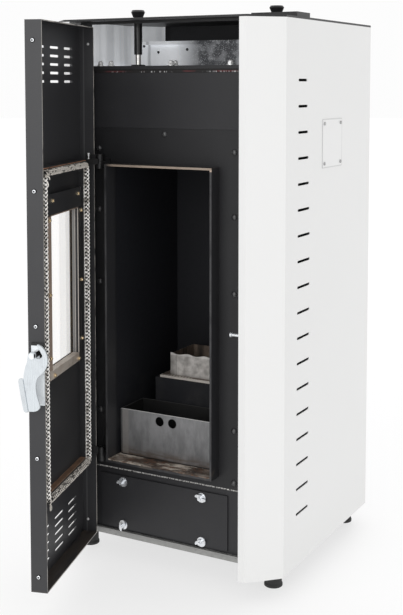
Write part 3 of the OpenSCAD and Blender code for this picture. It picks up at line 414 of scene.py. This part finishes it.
def sooty_steel():
    """Soot-black boiler steel, faintly blue, a little lighter low down where ash has settled. Its black is lifted a
    little: painted light for the dim recess it stands in.
    """
    made, here = start("sooty_steel")
    flake = here.noise(150, 5, 0.65)
    ash = here.noise(26, 4, 0.6).step(0.4, 0.8) * here.height().step(420, 300)
    colour = (ash * flake).blend((0.011, 0.0115, 0.0145), (0.04, 0.039, 0.038))
    return surface(made, here, colour, 0.5 + 0.25 * flake, flake, 0.12, Specular_IOR_Level=0.3)


def blotched_sill():
    """Scaled sheet in grey, beige and brown patches, with cream ash lying on it."""
    made, here = start("blotched_sill")
    scale = here.stretched(0.6, 1, 1).noise(48, 5, 0.65)
    ash = here.stretched(0.45, 1, 1).noise(48, 5, 0.65).step(0.5, 0.58)
    ring = here.stretched(0.5, 1, 1).noise(36, 4, 0.6).band(0.535, 0.555, 0.012)
    patches = scale.node("ValToRGB", {"Fac": scale}, stops=[
        (0.32, (0.022, 0.02, 0.02)),
        (0.46, (0.1, 0.072, 0.055)),
        (0.54, (0.26, 0.22, 0.185)),
        (0.68, (0.5, 0.45, 0.4)),
    ])
    dusted = (ash * 0.85).blend(patches, (0.68, 0.61, 0.53))
    colour = (ring * 0.8).blend(dusted, (0.2, 0.085, 0.04))
    return surface(made, here, colour, 0.55 + 0.3 * ash, scale, 0.4, Metallic=0.15)


def ash_pan_steel():
    """Bare pressed steel: sooted inside, streaked brown along the foot, scuffed bright on the rim; painted light on
    a band near its left side, and painted shadow lines along its left fold and its foot.
    """
    made, here = start("ash_pan_steel")
    low, high = box_mm("ash_pan")
    across, depth, height = here.across(), here.depth(), here.height()
    cloud = here.noise(16, 4, 0.6)
    streak = here.stretched(0.5, 1, 3).noise(50, 4, 0.6).step(0.4, 0.6)
    mottle = here.stretched(1, 1, 0.35).noise(60, 5, 0.65).step(0.35, 0.65)
    darker_low = height.step(low.z + 79.2, low.z + 19.2)
    grey = (cloud * 0.35 + mottle * 0.4 + 0.4 * darker_low).clamped().blend((0.3, 0.3, 0.305), (0.13, 0.13, 0.133))
    foot = height.step(low.z + 25.2, low.z + 1.2)
    toned = (foot * (0.3 + 0.7 * streak)).clamped().blend(grey, (0.1, 0.074, 0.058))
    # A painted light on a band near the left side.
    left_band = across.band(low.x + 3.5, low.x + 18, 2)
    lit = (left_band * 0.5).blend(toned, (0.3, 0.28, 0.26))
    # Painted shadow lines along the left fold and the foot, where the pan meets the firebox.
    left_fold = across.step(low.x + 3.5, low.x + 2.5) * across.step(low.x + 0.6, low.x + 1.2)
    foot_line = height.step(low.z + 2.7, low.z + 1.7)
    inside = depth.step(low.y + 0.8, low.y + 1.4)
    sooted = (inside + (left_fold + foot_line) * 0.85).clamped().blend(lit, NEAR_BLACK)
    front_rim = 0.06 + 0.94 * depth.step(low.y + 2.5, low.y + 1.9)
    rim = height.step(high.z - 0.9, high.z - 0.5) * front_rim
    colour = (rim * 0.9).clamped().blend(sooted, (0.7, 0.7, 0.69))
    return surface(made, here, colour, 0.42 + 0.2 * cloud, streak, 0.03, Metallic=0.3 - 0.3 * inside)


# The burn pot's flange lies this far above the pot's foot; its front wall stands this far behind the flange's
# edge. The front row of holes: its depth behind the front strips, its first hole and its pitch.
POT_FLANGE_MM = 35
POT_WALL_MM = 12
FLANGE_HOLES_Y_MM = 157
FLANGE_HOLES_X_MM = -49
FLANGE_PITCH_MM = 7


def pot_steel():
    """Heat-tinted stainless: pale outside, brown within; on its brown flange a row of small bright-lipped holes."""
    made, here = start("pot_steel")
    low, high = box_mm("burn_pot")
    flange_top = low.z + POT_FLANGE_MM
    wall = low.y + POT_WALL_MM
    across, depth, height = here.across(), here.depth(), here.height()
    heat = here.noise(60, 5, 0.65).step(0.3, 0.7)

    pale = heat.blend((0.36, 0.34, 0.32), (0.68, 0.65, 0.62))
    seam = across.band(-40.2, -38.5, 1.2)
    corner = across.step(-36, -47) + height.step(flange_top + 8.7, flange_top - 1.3)
    worn = (corner * 0.4 + seam * 0.45).clamped().blend(pale, (0.1, 0.09, 0.08))
    lip = height.step(high.z - 6, high.z - 3.5) * 0.5
    outside = lip.blend(worn, (0.85, 0.83, 0.8))
    brown = here.stretched(1, 1, 0.4).noise(40, 4, 0.6).step(0.3, 0.7).blend((0.05, 0.04, 0.034), (0.3, 0.23, 0.18))
    pot = depth.step(wall - 0.3, wall + 0.2).blend(outside, brown)

    along = (((across - FLANGE_HOLES_X_MM) / FLANGE_PITCH_MM + 0.5).fraction() - 0.5) * FLANGE_PITCH_MM
    aside = depth - FLANGE_HOLES_Y_MM
    from_hole = (along * along + aside * aside) ** 0.5
    lips = from_hole.step(3.1, 2.5) * across.step(12, -8)
    rim = depth.step(low.y + 0.6, low.y + 0.2)
    tan = heat.blend((0.1, 0.08, 0.068), (0.3, 0.25, 0.21))
    plate = (rim * 0.65 + lips * 0.9).clamped().blend(tan, (0.85, 0.8, 0.74))
    colour = height.step(flange_top + 0.4, flange_top - 0.1).blend(pot, plate)
    return surface(made, here, colour, 0.38 + 0.2 * heat, heat, 0.08, Metallic=0.3)


def window_steel():
    """The window frame's tinted steel: pale along its foot, brown at the free edge, sooted beside the hinges, with
    painted highlights along two edge lines there.
    """
    made, here = start("frame_steel", door=True)
    low, high = box_mm("glass_frame", door=True)
    across, depth, height = here.across(), here.depth(), here.height()
    cloud = here.noise(24, 4, 0.6)
    tint = cloud.blend((0.2, 0.15, 0.12), (0.4, 0.31, 0.25))
    foot = height.step(low.z + 18.5, low.z + 17.5) * cloud.step(0.2, 0.5)
    pale = foot.blend(tint, (0.46, 0.41, 0.36))
    wall = depth.step(high.y - 7, high.y - 7.5).blend((0.012, 0.012, 0.013), (0.16, 0.155, 0.15))
    # Beside the hinges, two painted highlights along edge lines.
    outer_line = depth.band(high.y - 7.6, high.y - 7, 0.2)
    inner_line = depth.band(high.y - 2, high.y - 0.7, 0.3) * across.step(low.x + 14.8, low.x + 15.5)
    sooted = (outer_line + inner_line * 0.8).clamped().blend(wall, (0.6, 0.55, 0.5))
    beside_hinges = across.step(low.x + 17.5, low.x + 16.5)
    return surface(made, here, beside_hinges.blend(pale, sooted), 0.4 + 0.2 * cloud, cloud, 0.03, Metallic=0.2)


def brass():
    made, here = start("brass")
    dull = here.noise(260, 3)
    colour = dull.step(0.4, 0.65).blend((0.97, 0.83, 0.6), (0.85, 0.66, 0.42))
    return surface(made, here, colour, 0.15 + 0.15 * dull, Metallic=0.75)


# Rubber, seal, glass and yarn

def soft_matt(name, low, high, roughness):
    """Rubber, moulded plastic or dull paint: one colour with a fine skin."""
    made, here = start(name)
    skin = here.noise(300, 3)
    colour = here.noise(20, 3).step(0.35, 0.7).blend(low, high)
    return surface(made, here, colour, roughness + 0.1 * skin, skin, 0.1)


def fibre_seal():
    """Dark red fibre seal, mostly sooted black, with bright fibre ends in places."""
    made, here = start("cover_seal_red")
    foot = box_mm("cover_seal")[0].z
    height = here.height()
    red = height.band(foot + 1.8, foot + 4.5, 0.8) * here.noise(14, 3).step(0.5, 0.62)
    knots = height.band(foot + 1, foot + 3.5, 0.5) * here.stretched(1, 0.1, 0.1).noise(560, 1, 0.3).step(0.55, 0.6)
    bright = knots * here.noise(11, 2).step(0.48, 0.56)
    sooted = red.blend((0.01, 0.009, 0.009), (0.09, 0.02, 0.022))
    return surface(made, here, bright.blend(sooted, (0.4, 0.4, 0.4)), 0.75, here.noise(700, 2), 0.3)


def amber_glass():
    """Ceramic glass, nearly clear, with a faint amber tint."""
    made, here = start("amber_glass", door=True)
    film = here.noise(9, 2)
    colour = film.blend((0.85, 0.55, 0.2), (0.8, 0.54, 0.22))
    return surface(made, here, colour, 0.05 + 0.05 * film, Alpha=0.035, Specular_IOR_Level=0.12)


# The rope gasket: its centre line on the door, and its ridges of stitches round a dark core.
GASKET_LOW, GASKET_HIGH = box_mm("door_gasket", door=True)
ROPE_R_MM = (GASKET_HIGH.y - GASKET_LOW.y) / 2
ROPE_X_MM = GASKET_HIGH.x - ROPE_R_MM
ROPE_Y_MM = GASKET_LOW.y + ROPE_R_MM
ROPE_Z_MM = (GASKET_LOW.z + ROPE_R_MM, GASKET_HIGH.z - ROPE_R_MM)
ROPE_BEND_MM = 9
RIDGE_REACH_MM = 4.7


def glass_yarn(name, low, high, glow):
    """Bundled glass-fibre filaments, pale on the crowns and black on their sides towards the core: painted shade
    for the rope's hollows. glow makes them glow faintly: painted light that brightens the yarn.
    """
    made, here = start(name, door=True)
    hair = here.noise(2600, 2)
    soot = here.noise(75, 4, 0.6).step(0.45, 0.7)
    beyond_side = here.across().absolute() - ROPE_X_MM
    middle = (ROPE_Z_MM[0] + ROPE_Z_MM[1]) / 2
    beyond_end = (here.height() - middle).absolute() - (ROPE_Z_MM[1] - middle)
    outward = beyond_side.largest(beyond_end)
    forward = here.depth() - ROPE_Y_MM
    from_core = (outward * outward + forward * forward) ** 0.5
    # Dark towards the core: painted shade.
    crown = from_core.step(RIDGE_REACH_MM - 0.9, RIDGE_REACH_MM + 0.3)
    sooty_run = beyond_end.step(-12, -4) * 0.75
    pale = (0.3 * hair + 0.5 * soot + sooty_run).clamped().blend(high, low)
    colour = crown.blend((0.012, 0.011, 0.01), pale)
    # The glow is painted light.
    return surface(made, here, colour, 0.75, hair, 0.12, Sheen_Weight=0.15, Emission_Color=colour,
                   Emission_Strength=glow)


# Every node's finish

FINISHES = [
    (white_paint("white_powder_coat", greyer_low), "side_panel_left side_panel_right"),
    (white_paint("cover_paint", cover_rim_shade), "access_cover"),
    (soft_matt("dulled_zinc", (0.3, 0.3, 0.3), (0.45, 0.45, 0.45), 0.35), "access_screws"),
    (black_paint("casing_black", (0.012, 0.012, 0.013), (0.03, 0.03, 0.032), 0.33),
     "top_plate top_rail hinge_brackets guide_plate lid_hinges hopper_lid door_knuckles"),
    (black_paint("knob_black", (0.006, 0.006, 0.0065), (0.014, 0.014, 0.015), 0.3), "damper_rod"),
    # The hopper is black too: painted shade for the dark gap above the sheet in front of it.
    (black_paint("boiler_black", (0.02, 0.02, 0.0222), (0.042, 0.042, 0.045), 0.42, gloss=0.4),
     "upper_panel lower_cover base_pan boiler_cover water_jacket smoke_tubes hopper"),
    (black_paint("bolt_black", (0.03, 0.03, 0.032), (0.07, 0.07, 0.072), 0.2, gloss=0.8), "plate_bolts"),
    (black_paint("plate_black", (0.012, 0.012, 0.0135), (0.03, 0.03, 0.032), 0.42, gloss=0.4, extra=weld_seam),
     "front_plate"),
    (black_paint("door_black", (0.026, 0.026, 0.0285), (0.05, 0.05, 0.053), 0.34, door=True, extra=edge_highlights_and_scorch),
     "door_pan"),
    (black_paint("baffle_black", (0.019, 0.019, 0.021), (0.038, 0.0375, 0.0375), 0.45, door=True, dust=0.5,
                 gloss=0.4, extra=scorched_lip),
     "door_baffle rope_frame glass_clamp"),
    (hot_black(), "firebox_collar"),
    (sooty_steel(), "firebox_shell pot_holder"),
    (blotched_sill(), "sill_plate"),
    (ash_pan_steel(), "ash_pan"),
    (pot_steel(), "burn_pot"),
    (spangled_zinc(), "rear_panel flue_spigot air_inlet fan_housing feed_tube"),
    (spangled_zinc("strip_zinc", (0.24, 0.24, 0.235), (0.36, 0.36, 0.35)), "base_strip"),
    # The sheet in front of the hopper and the compartment's left sheet glow faintly: painted light for the light
    # reaching into the upper compartment.
    (spangled_zinc("zinc_painted_shade", (0.8, 0.82, 0.85), (0.94, 0.96, 0.99), sheet_painted_shade, 0.05, 0.28),
     "hopper_front"),
    (spangled_zinc("zinc_shade_bands", (0.85, 0.87, 0.9), (0.95, 0.97, 0.99), sheet_shade_bands, 0.05, 0.26),
     "compartment_liner"),
    (bright_zinc(), "wing_nuts strike_pin"),
    (bright_zinc("nut_zinc", (0.95, 0.95, 0.95), (0.6, 0.6, 0.6), metal=0.45), "cover_bolts"),
    (bright_zinc("socket_zinc", door=True, extra=socket_head), "door_screws"),
    (bright_zinc("blue_zinc", (0.63, 0.67, 0.7), (0.56, 0.59, 0.62), metal=0.3), "latch_handle"),
    # The latch plate's zinc is pale: its colour is raised as a painted light for the shade it stands in.
    (bright_zinc("plate_zinc", (0.85, 0.88, 0.9), (0.72, 0.75, 0.78), True, 0.1, blackened_corner), "latch_plate"),
    (plain_steel("bare_steel", (0.5, 0.5, 0.5), (0.72, 0.71, 0.69)), "feed_screw fan_wheel igniter"),
    (plain_steel("pipe_brass", (0.45, 0.36, 0.2), (0.66, 0.55, 0.34)), "water_pipes"),
    (window_steel(), "glass_frame"),
    (pull_rod(), "scraper_rod"),
    (soft_matt("foot_rubber", (0.012, 0.012, 0.012), (0.03, 0.03, 0.03), 0.6), "feet"),
    (soft_matt("moulded_black", (0.015, 0.015, 0.016), (0.03, 0.03, 0.03), 0.45), "feed_motor mains_inlet"),
    (soft_matt("pump_enamel", (0.02, 0.05, 0.11), (0.03, 0.07, 0.15), 0.3), "circulation_pump"),
    (fibre_seal(), "cover_seal"),
    (amber_glass(), "door_glass"),
    (brass(), "brass_studs"),
]
for look, nodes in FINISHES:
    for node in nodes.split():
        for slot in frame["nodes"][node].material_slots:
            slot.material = look


# Mesh helpers

RIGHT = Vector((1, 0, 0))
UP = Vector((0, 0, 1))
# Degrees between the points of an arc.
ARC_STEP = 15


def piece(name, vertices, faces, material, body, smooth=True):
    """A finished mesh in the part's frame that rides on a body."""
    mesh = bpy.data.meshes.new(name)
    mesh.from_pydata([tuple(v) for v in vertices], [], faces)
    mesh.materials.append(material)
    for polygon in mesh.polygons:
        polygon.use_smooth = smooth
    mesh.update()
    made = bpy.data.objects.new(name, mesh)
    bpy.context.scene.collection.objects.link(made)
    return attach(made, body)


def ring_faces(first, second, sides):
    """Faces between two rings of vertices, which begin at first and second."""
    return [(first + k, first + (k + 1) % sides, second + (k + 1) % sides, second + k) for k in range(sides)]


def tube(points, radii, sides, closed=False):
    """Vertices and faces of a tube along points, with one radius for each."""
    vertices, faces = [], []
    count = len(points)
    normal = (points[1] - points[-1 if closed else 0]).orthogonal().normalized()
    for i, point in enumerate(points):
        ahead = points[(i + 1) % count] if closed or i + 1 < count else point
        behind = points[i - 1] if closed or i > 0 else point
        along = (ahead - behind).normalized()
        normal = (normal - along * normal.dot(along)).normalized()
        side = along.cross(normal)
        for k in range(sides):
            turn = 2 * math.pi * k / sides
            vertices.append(point + (normal * math.cos(turn) + side * math.sin(turn)) * radii[i])
    for i in range(count if closed else count - 1):
        faces += ring_faces(i * sides, (i + 1) % count * sides, sides)
    if not closed:
        faces += [tuple(range(sides - 1, -1, -1)), tuple((count - 1) * sides + k for k in range(sides))]
    return vertices, faces


# Screws, and the strap with its pin

# Half profiles, as distance from the axis and rise above the seat: a pan head, and a pin with a neck and a head.
SCREW_HEAD_MM = [(2.9, 0), (2.9, 0.9), (2.2, 1.7), (1.2, 2.0), (1.1, 1.1), (0, 1.1)]
PIN_MM = [(1.7, 0), (1.7, 2.5), (1, 3.2), (1, 7), (1.5, 7.6), (1.8, 11), (3, 12.2), (3, 14), (2.4, 14.8), (0, 14.8)]
TURNED_SIDES = 14
# Screws in the hopper's front sheet, across and high, and in the door's hinge-side fold, deep and high.
SHEET_SCREWS_MM = [(-127.8, 1046.8), (-93.3, 1033.9), (-25, 1038.7)]
FOLD_SCREWS_MM = [(9.7, 1047), (1.7, 85)]
# The strap from the rope channel's upper corner towards the hinge: its place across and its thickness, the
# height of its square end, the depth, height and radius of its round end, and its pin's depth and height.
STRAP_X_MM = -122
STRAP_T_MM = 3
STRAP_FOOT_Y_MM = 9
STRAP_FOOT_Z_MM = (812, 821)
STRAP_END_MM = (30, 816.5, 6)
STRAP_PIN_MM = (15, 821.4)


def turned(name, profile, spots, towards, sideways, material, body, size=1.0):
    """Round pieces at spots, their profile, times size, rising towards a direction."""
    vertices, faces = [], []
    upright = towards.cross(sideways)
    for spot in spots:
        for radius, rise in profile:
            for k in range(TURNED_SIDES):
                turn = 2 * math.pi * k / TURNED_SIDES
                ring = sideways * math.cos(turn) + upright * math.sin(turn)
                vertices.append(spot + (towards * rise + ring * radius) * size / 1000)
        base = len(vertices) - len(profile) * TURNED_SIDES
        for ring_start in range(base, len(vertices) - TURNED_SIDES, TURNED_SIDES):
            faces += ring_faces(ring_start, ring_start + TURNED_SIDES, TURNED_SIDES)
    return piece(name, vertices, faces, material, body, smooth=False)


def sheet_screws():
    """Dark screws in the hopper's front sheet."""
    sheet_y = box_mm("hopper_front")[1].y - CASING_SHEET_MM
    spots = [body_point(x, sheet_y, z) for x, z in SHEET_SCREWS_MM]
    dark = soft_matt("dark_screw", (0.03, 0.03, 0.03), (0.08, 0.08, 0.08), 0.4)
    turned("hopper_sheet_screws", SCREW_HEAD_MM, spots, Vector((0, -1, 0)), RIGHT, dark, "root")


def fold_screws():
    """Light screws inside the door's hinge-side fold."""
    fold_x = box_mm("door_pan", door=True)[0].x + DOOR_SHEET_MM
    spots = [door_point(fold_x, y, z) for y, z in FOLD_SCREWS_MM]
    inward = (door_point(1, 0, 0) - door_point(0, 0, 0)).normalized()
    light = soft_matt("light_screw", (0.5, 0.5, 0.5), (0.7, 0.7, 0.7), 0.3)
    turned("hinge_flange_screws", SCREW_HEAD_MM, spots, inward, UP, light, "door", size=0.9)


def hinge_strap():
    """A flat black strap with a round end, standing on edge, and the pin on it, near white as a painted glint."""
    y, z, r = STRAP_END_MM
    bend = [(y + r * math.sin(math.radians(turn)), z + r * math.cos(math.radians(turn)))
            for turn in range(0, 181, ARC_STEP)]
    outline = [(STRAP_FOOT_Y_MM, foot_z) for foot_z in STRAP_FOOT_Z_MM] + bend
    count = len(outline)
    vertices = [door_point(STRAP_X_MM + side * STRAP_T_MM / 2, *spot) for side in (-1, 1) for spot in outline]
    faces = [tuple(range(count)), tuple(range(2 * count - 1, count - 1, -1))]
    faces += [(k, k + count, (k + 1) % count + count, (k + 1) % count) for k in range(count)]
    paint = black_paint("strap_black", (0.006, 0.006, 0.0065), (0.02, 0.02, 0.021), 0.3, door=True)
    piece("hinge_strap", vertices, faces, paint, "door", smooth=False)
    # The pin is near white: a painted glint.
    bright = soft_matt("pin_glint", (0.8, 0.8, 0.8), (0.97, 0.97, 0.97), 0.25)
    turned("strap_pin", PIN_MM, [door_point(STRAP_X_MM, *STRAP_PIN_MM)], UP, RIGHT, bright, "door", size=0.8)


sheet_screws()
fold_screws()
hinge_strap()


# Door gasket

STITCH_MM = 7.2
STEPS_PER_STITCH = 5
RIDGES = 6
YARN_SIDES = 5
CORE_SIDES = 8
CORE_MM = 3.9
# Half of a stitch, step by step along the rope: its distance sideways from the ridge, its rise and its radius.
HALF_STITCH_MM = [(2.1, -0.5, 0.7), (1.6, 0.1, 1.15), (0.9, 0.4, 1.25), (0.2, 0.1, 0.8)]
# How many of the stitches are sooted grey: on the ring's inner and outer ridges, and on the other ridges.
EDGE_GREY = 0.5
FACE_GREY = 0.15
# Yarn that has worked loose at the rope's corners: its radius near the tips and its runs, in door millimetres.
LOOSE_R_MM = 0.7
LOOSE_SIDES = 7
LOOSE_YARN_MM = [
    [(112, 15, 212), (115, 17, 208), (117, 17.5, 204), (115, 17.5, 200.5), (110.5, 17, 200), (107, 16.5, 203),
     (107.5, 16, 207), (110, 15, 211)],
    [(118, 16, 809), (114, 18, 806), (108, 18.2, 804.5), (103, 17.8, 802), (100, 17, 799)],
    [(119, 15.5, 799), (114.5, 18, 796), (110.5, 18, 791.5), (108.5, 17.2, 787)],
]


def rope_line():
    """Centre line of the gasket with round corners, in door millimetres, in even steps."""
    half = ROPE_X_MM
    low, high = ROPE_Z_MM
    r = ROPE_BEND_MM
    corners = [(half - r, low + r, -90), (half - r, high - r, 0), (-half + r, high - r, 90),
               (-half + r, low + r, 180)]
    outline = [(cx + r * math.cos(math.radians(begin + turn)), cz + r * math.sin(math.radians(begin + turn)))
               for cx, cz, begin in corners for turn in range(0, 91, ARC_STEP)]
    outline.append(outline[0])
    spots = []
    for (x0, z0), (x1, z1) in zip(outline, outline[1:]):
        parts = max(1, round(math.dist((x0, z0), (x1, z1)) * STEPS_PER_STITCH / STITCH_MM))
        spots += [Vector((x0 + (x1 - x0) * i / parts, ROPE_Y_MM, z0 + (z1 - z0) * i / parts))
                  for i in range(parts)]
    return spots


def half_stitch(line, first, turn, way):
    """One short tapered yarn on the ridge at an angle round the rope, leaning one way."""
    depth = Vector((0, 1, 0))
    count = len(line)
    points = []
    for k, (spread, rise, _) in enumerate(HALF_STITCH_MM):
        i = (first + k) % count
        along = (line[(i + 1) % count] - line[i - 1]).normalized()
        inward = along.cross(depth)
        out = inward * math.cos(turn) + depth * math.sin(turn)
        across = depth * math.cos(turn) - inward * math.sin(turn)
        points.append(door_point(*(line[i] + out * (RIDGE_REACH_MM + rise) + across * way * spread)))
    return tube(points, [radius / 1000 for _, _, radius in HALF_STITCH_MM], YARN_SIDES)


def knitted_rope():
    """Six ridges of stitches round a dark core: each stitch is two short tapered yarns that meet in a V."""
    line = rope_line()
    yarns = [glass_yarn("yarn_light", (0.45, 0.42, 0.38), (1, 0.98, 0.95), 0.2),
             glass_yarn("yarn_grey", (0.12, 0.11, 0.1), (0.62, 0.58, 0.53), 0.05)]
    heap = [([], []) for _ in yarns]
    light, grey = heap
    for ridge in range(RIDGES):
        turn = 2 * math.pi * ridge / RIDGES
        grey_share = EDGE_GREY if ridge % (RIDGES // 2) == 0 else FACE_GREY
        for first in range(2 * (ridge % 2), len(line) - len(HALF_STITCH_MM), STEPS_PER_STITCH):
            for way in (1, -1):
                vertices, faces = half_stitch(line, first, turn, way)
                store = grey if random.random() < grey_share else light
                base = len(store[0])
                store[0].extend(vertices)
                store[1].extend(tuple(base + k for k in face) for face in faces)
    made = [piece("gasket_" + yarn.name, *store, yarn, "door") for yarn, store in zip(yarns, heap)]
    # The core is near black: painted shade deep in the rope between its stitches, which also keeps the rope from
    # being seen through.
    core = soft_matt("rope_core", (0.008, 0.008, 0.008), (0.02, 0.02, 0.02), 0.9)
    core_line = [door_point(*spot) for spot in line[::2]]
    core_mesh = tube(core_line, [CORE_MM / 1000] * len(core_line), CORE_SIDES, closed=True)
    return made + [piece("gasket_core", *core_mesh, core, "door")]


def loose_yarn():
    """Short ends that stand off the rope, thinner at their tips."""
    vertices, faces = [], []
    for spots in LOOSE_YARN_MM:
        count = len(spots)
        radii = [LOOSE_R_MM * (1 + math.sin(math.pi * (i + 0.5) / count)) / 1000 for i in range(count)]
        more, walls = tube([door_point(*spot) for spot in spots], radii, LOOSE_SIDES)
        faces += [tuple(len(vertices) + k for k in face) for face in walls]
        vertices += more
    yarn = glass_yarn("yarn_loose", (0.5, 0.47, 0.42), (0.95, 0.92, 0.86), 0.1)
    return piece("gasket_loose_yarn", vertices, faces, yarn, "door")


for yarn_piece in knitted_rope() + [loose_yarn()]:
    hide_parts("door_gasket")


# Floor and light

FLOOR_GLOW = 0.7
FLOOR_REACH = 30
FLOOR_SIDES = 64
WORLD_LIGHT = 0.98
LAMP_PLACE = Vector((0.1, -3.2, 1.3))
LAMP_AIM = Vector((0, 0, 0.7))
LAMP_SIZE = 2
LAMP_WATTS = 19


def pale_floor():
    made, here = start("studio_floor")
    surface(made, here, here.noise(3, 2).blend((0.25, 0.25, 0.25), (0.24, 0.24, 0.24)), 0.6,
            Emission_Color=(1, 1, 1, 1), Emission_Strength=FLOOR_GLOW)
    turns = [2 * math.pi * k / FLOOR_SIDES for k in range(FLOOR_SIDES)]
    mesh = bpy.data.meshes.new("studio_floor")
    mesh.from_pydata([(FLOOR_REACH * math.cos(turn), FLOOR_REACH * math.sin(turn), 0) for turn in turns], [],
                     [tuple(range(FLOOR_SIDES))])
    mesh.materials.append(made)
    floor = bpy.data.objects.new("studio_floor", mesh)
    bpy.context.scene.collection.objects.link(floor)


def soft_light():
    """White light from all sides, and one big round lamp in front."""
    world = bpy.data.worlds.new("studio_world")
    world.use_nodes = True
    world.node_tree.nodes["Background"].inputs["Color"].default_value = (1, 1, 1, 1)
    world.node_tree.nodes["Background"].inputs["Strength"].default_value = WORLD_LIGHT
    bpy.context.scene.world = world
    lamp = bpy.data.lights.new("key_lamp", "AREA")
    lamp.shape = "DISK"
    lamp.size = LAMP_SIZE
    lamp.energy = LAMP_WATTS
    holder = bpy.data.objects.new("key_lamp", lamp)
    holder.location = LAMP_PLACE
    holder.rotation_euler = (LAMP_AIM - LAMP_PLACE).to_track_quat("-Z", "Y").to_euler()
    bpy.context.scene.collection.objects.link(holder)
    bpy.context.scene.view_settings.view_transform = "Standard"


pale_floor()
soft_light()


# Camera, in front and to the right, at about the height of the top plate

CAMERA_PLACE = (1.1017, -1.9509, 0.968)
CAMERA_TURN = 28.67
CAMERA_DOWN = 4.48
CAMERA_SHIFT = -0.22
FOCAL_PIXELS = 1121.7
IMAGE_HEIGHT = 615
SENSOR_MM = 36

camera = bpy.data.cameras.new("camera")
camera.sensor_width = SENSOR_MM
camera.lens = FOCAL_PIXELS / IMAGE_HEIGHT * SENSOR_MM
camera.shift_y = CAMERA_SHIFT
eye = bpy.data.objects.new("camera", camera)
eye.location = CAMERA_PLACE
eye.rotation_euler = (math.radians(90 - CAMERA_DOWN), 0, math.radians(CAMERA_TURN))
bpy.context.scene.collection.objects.link(eye)
bpy.context.scene.camera = eye
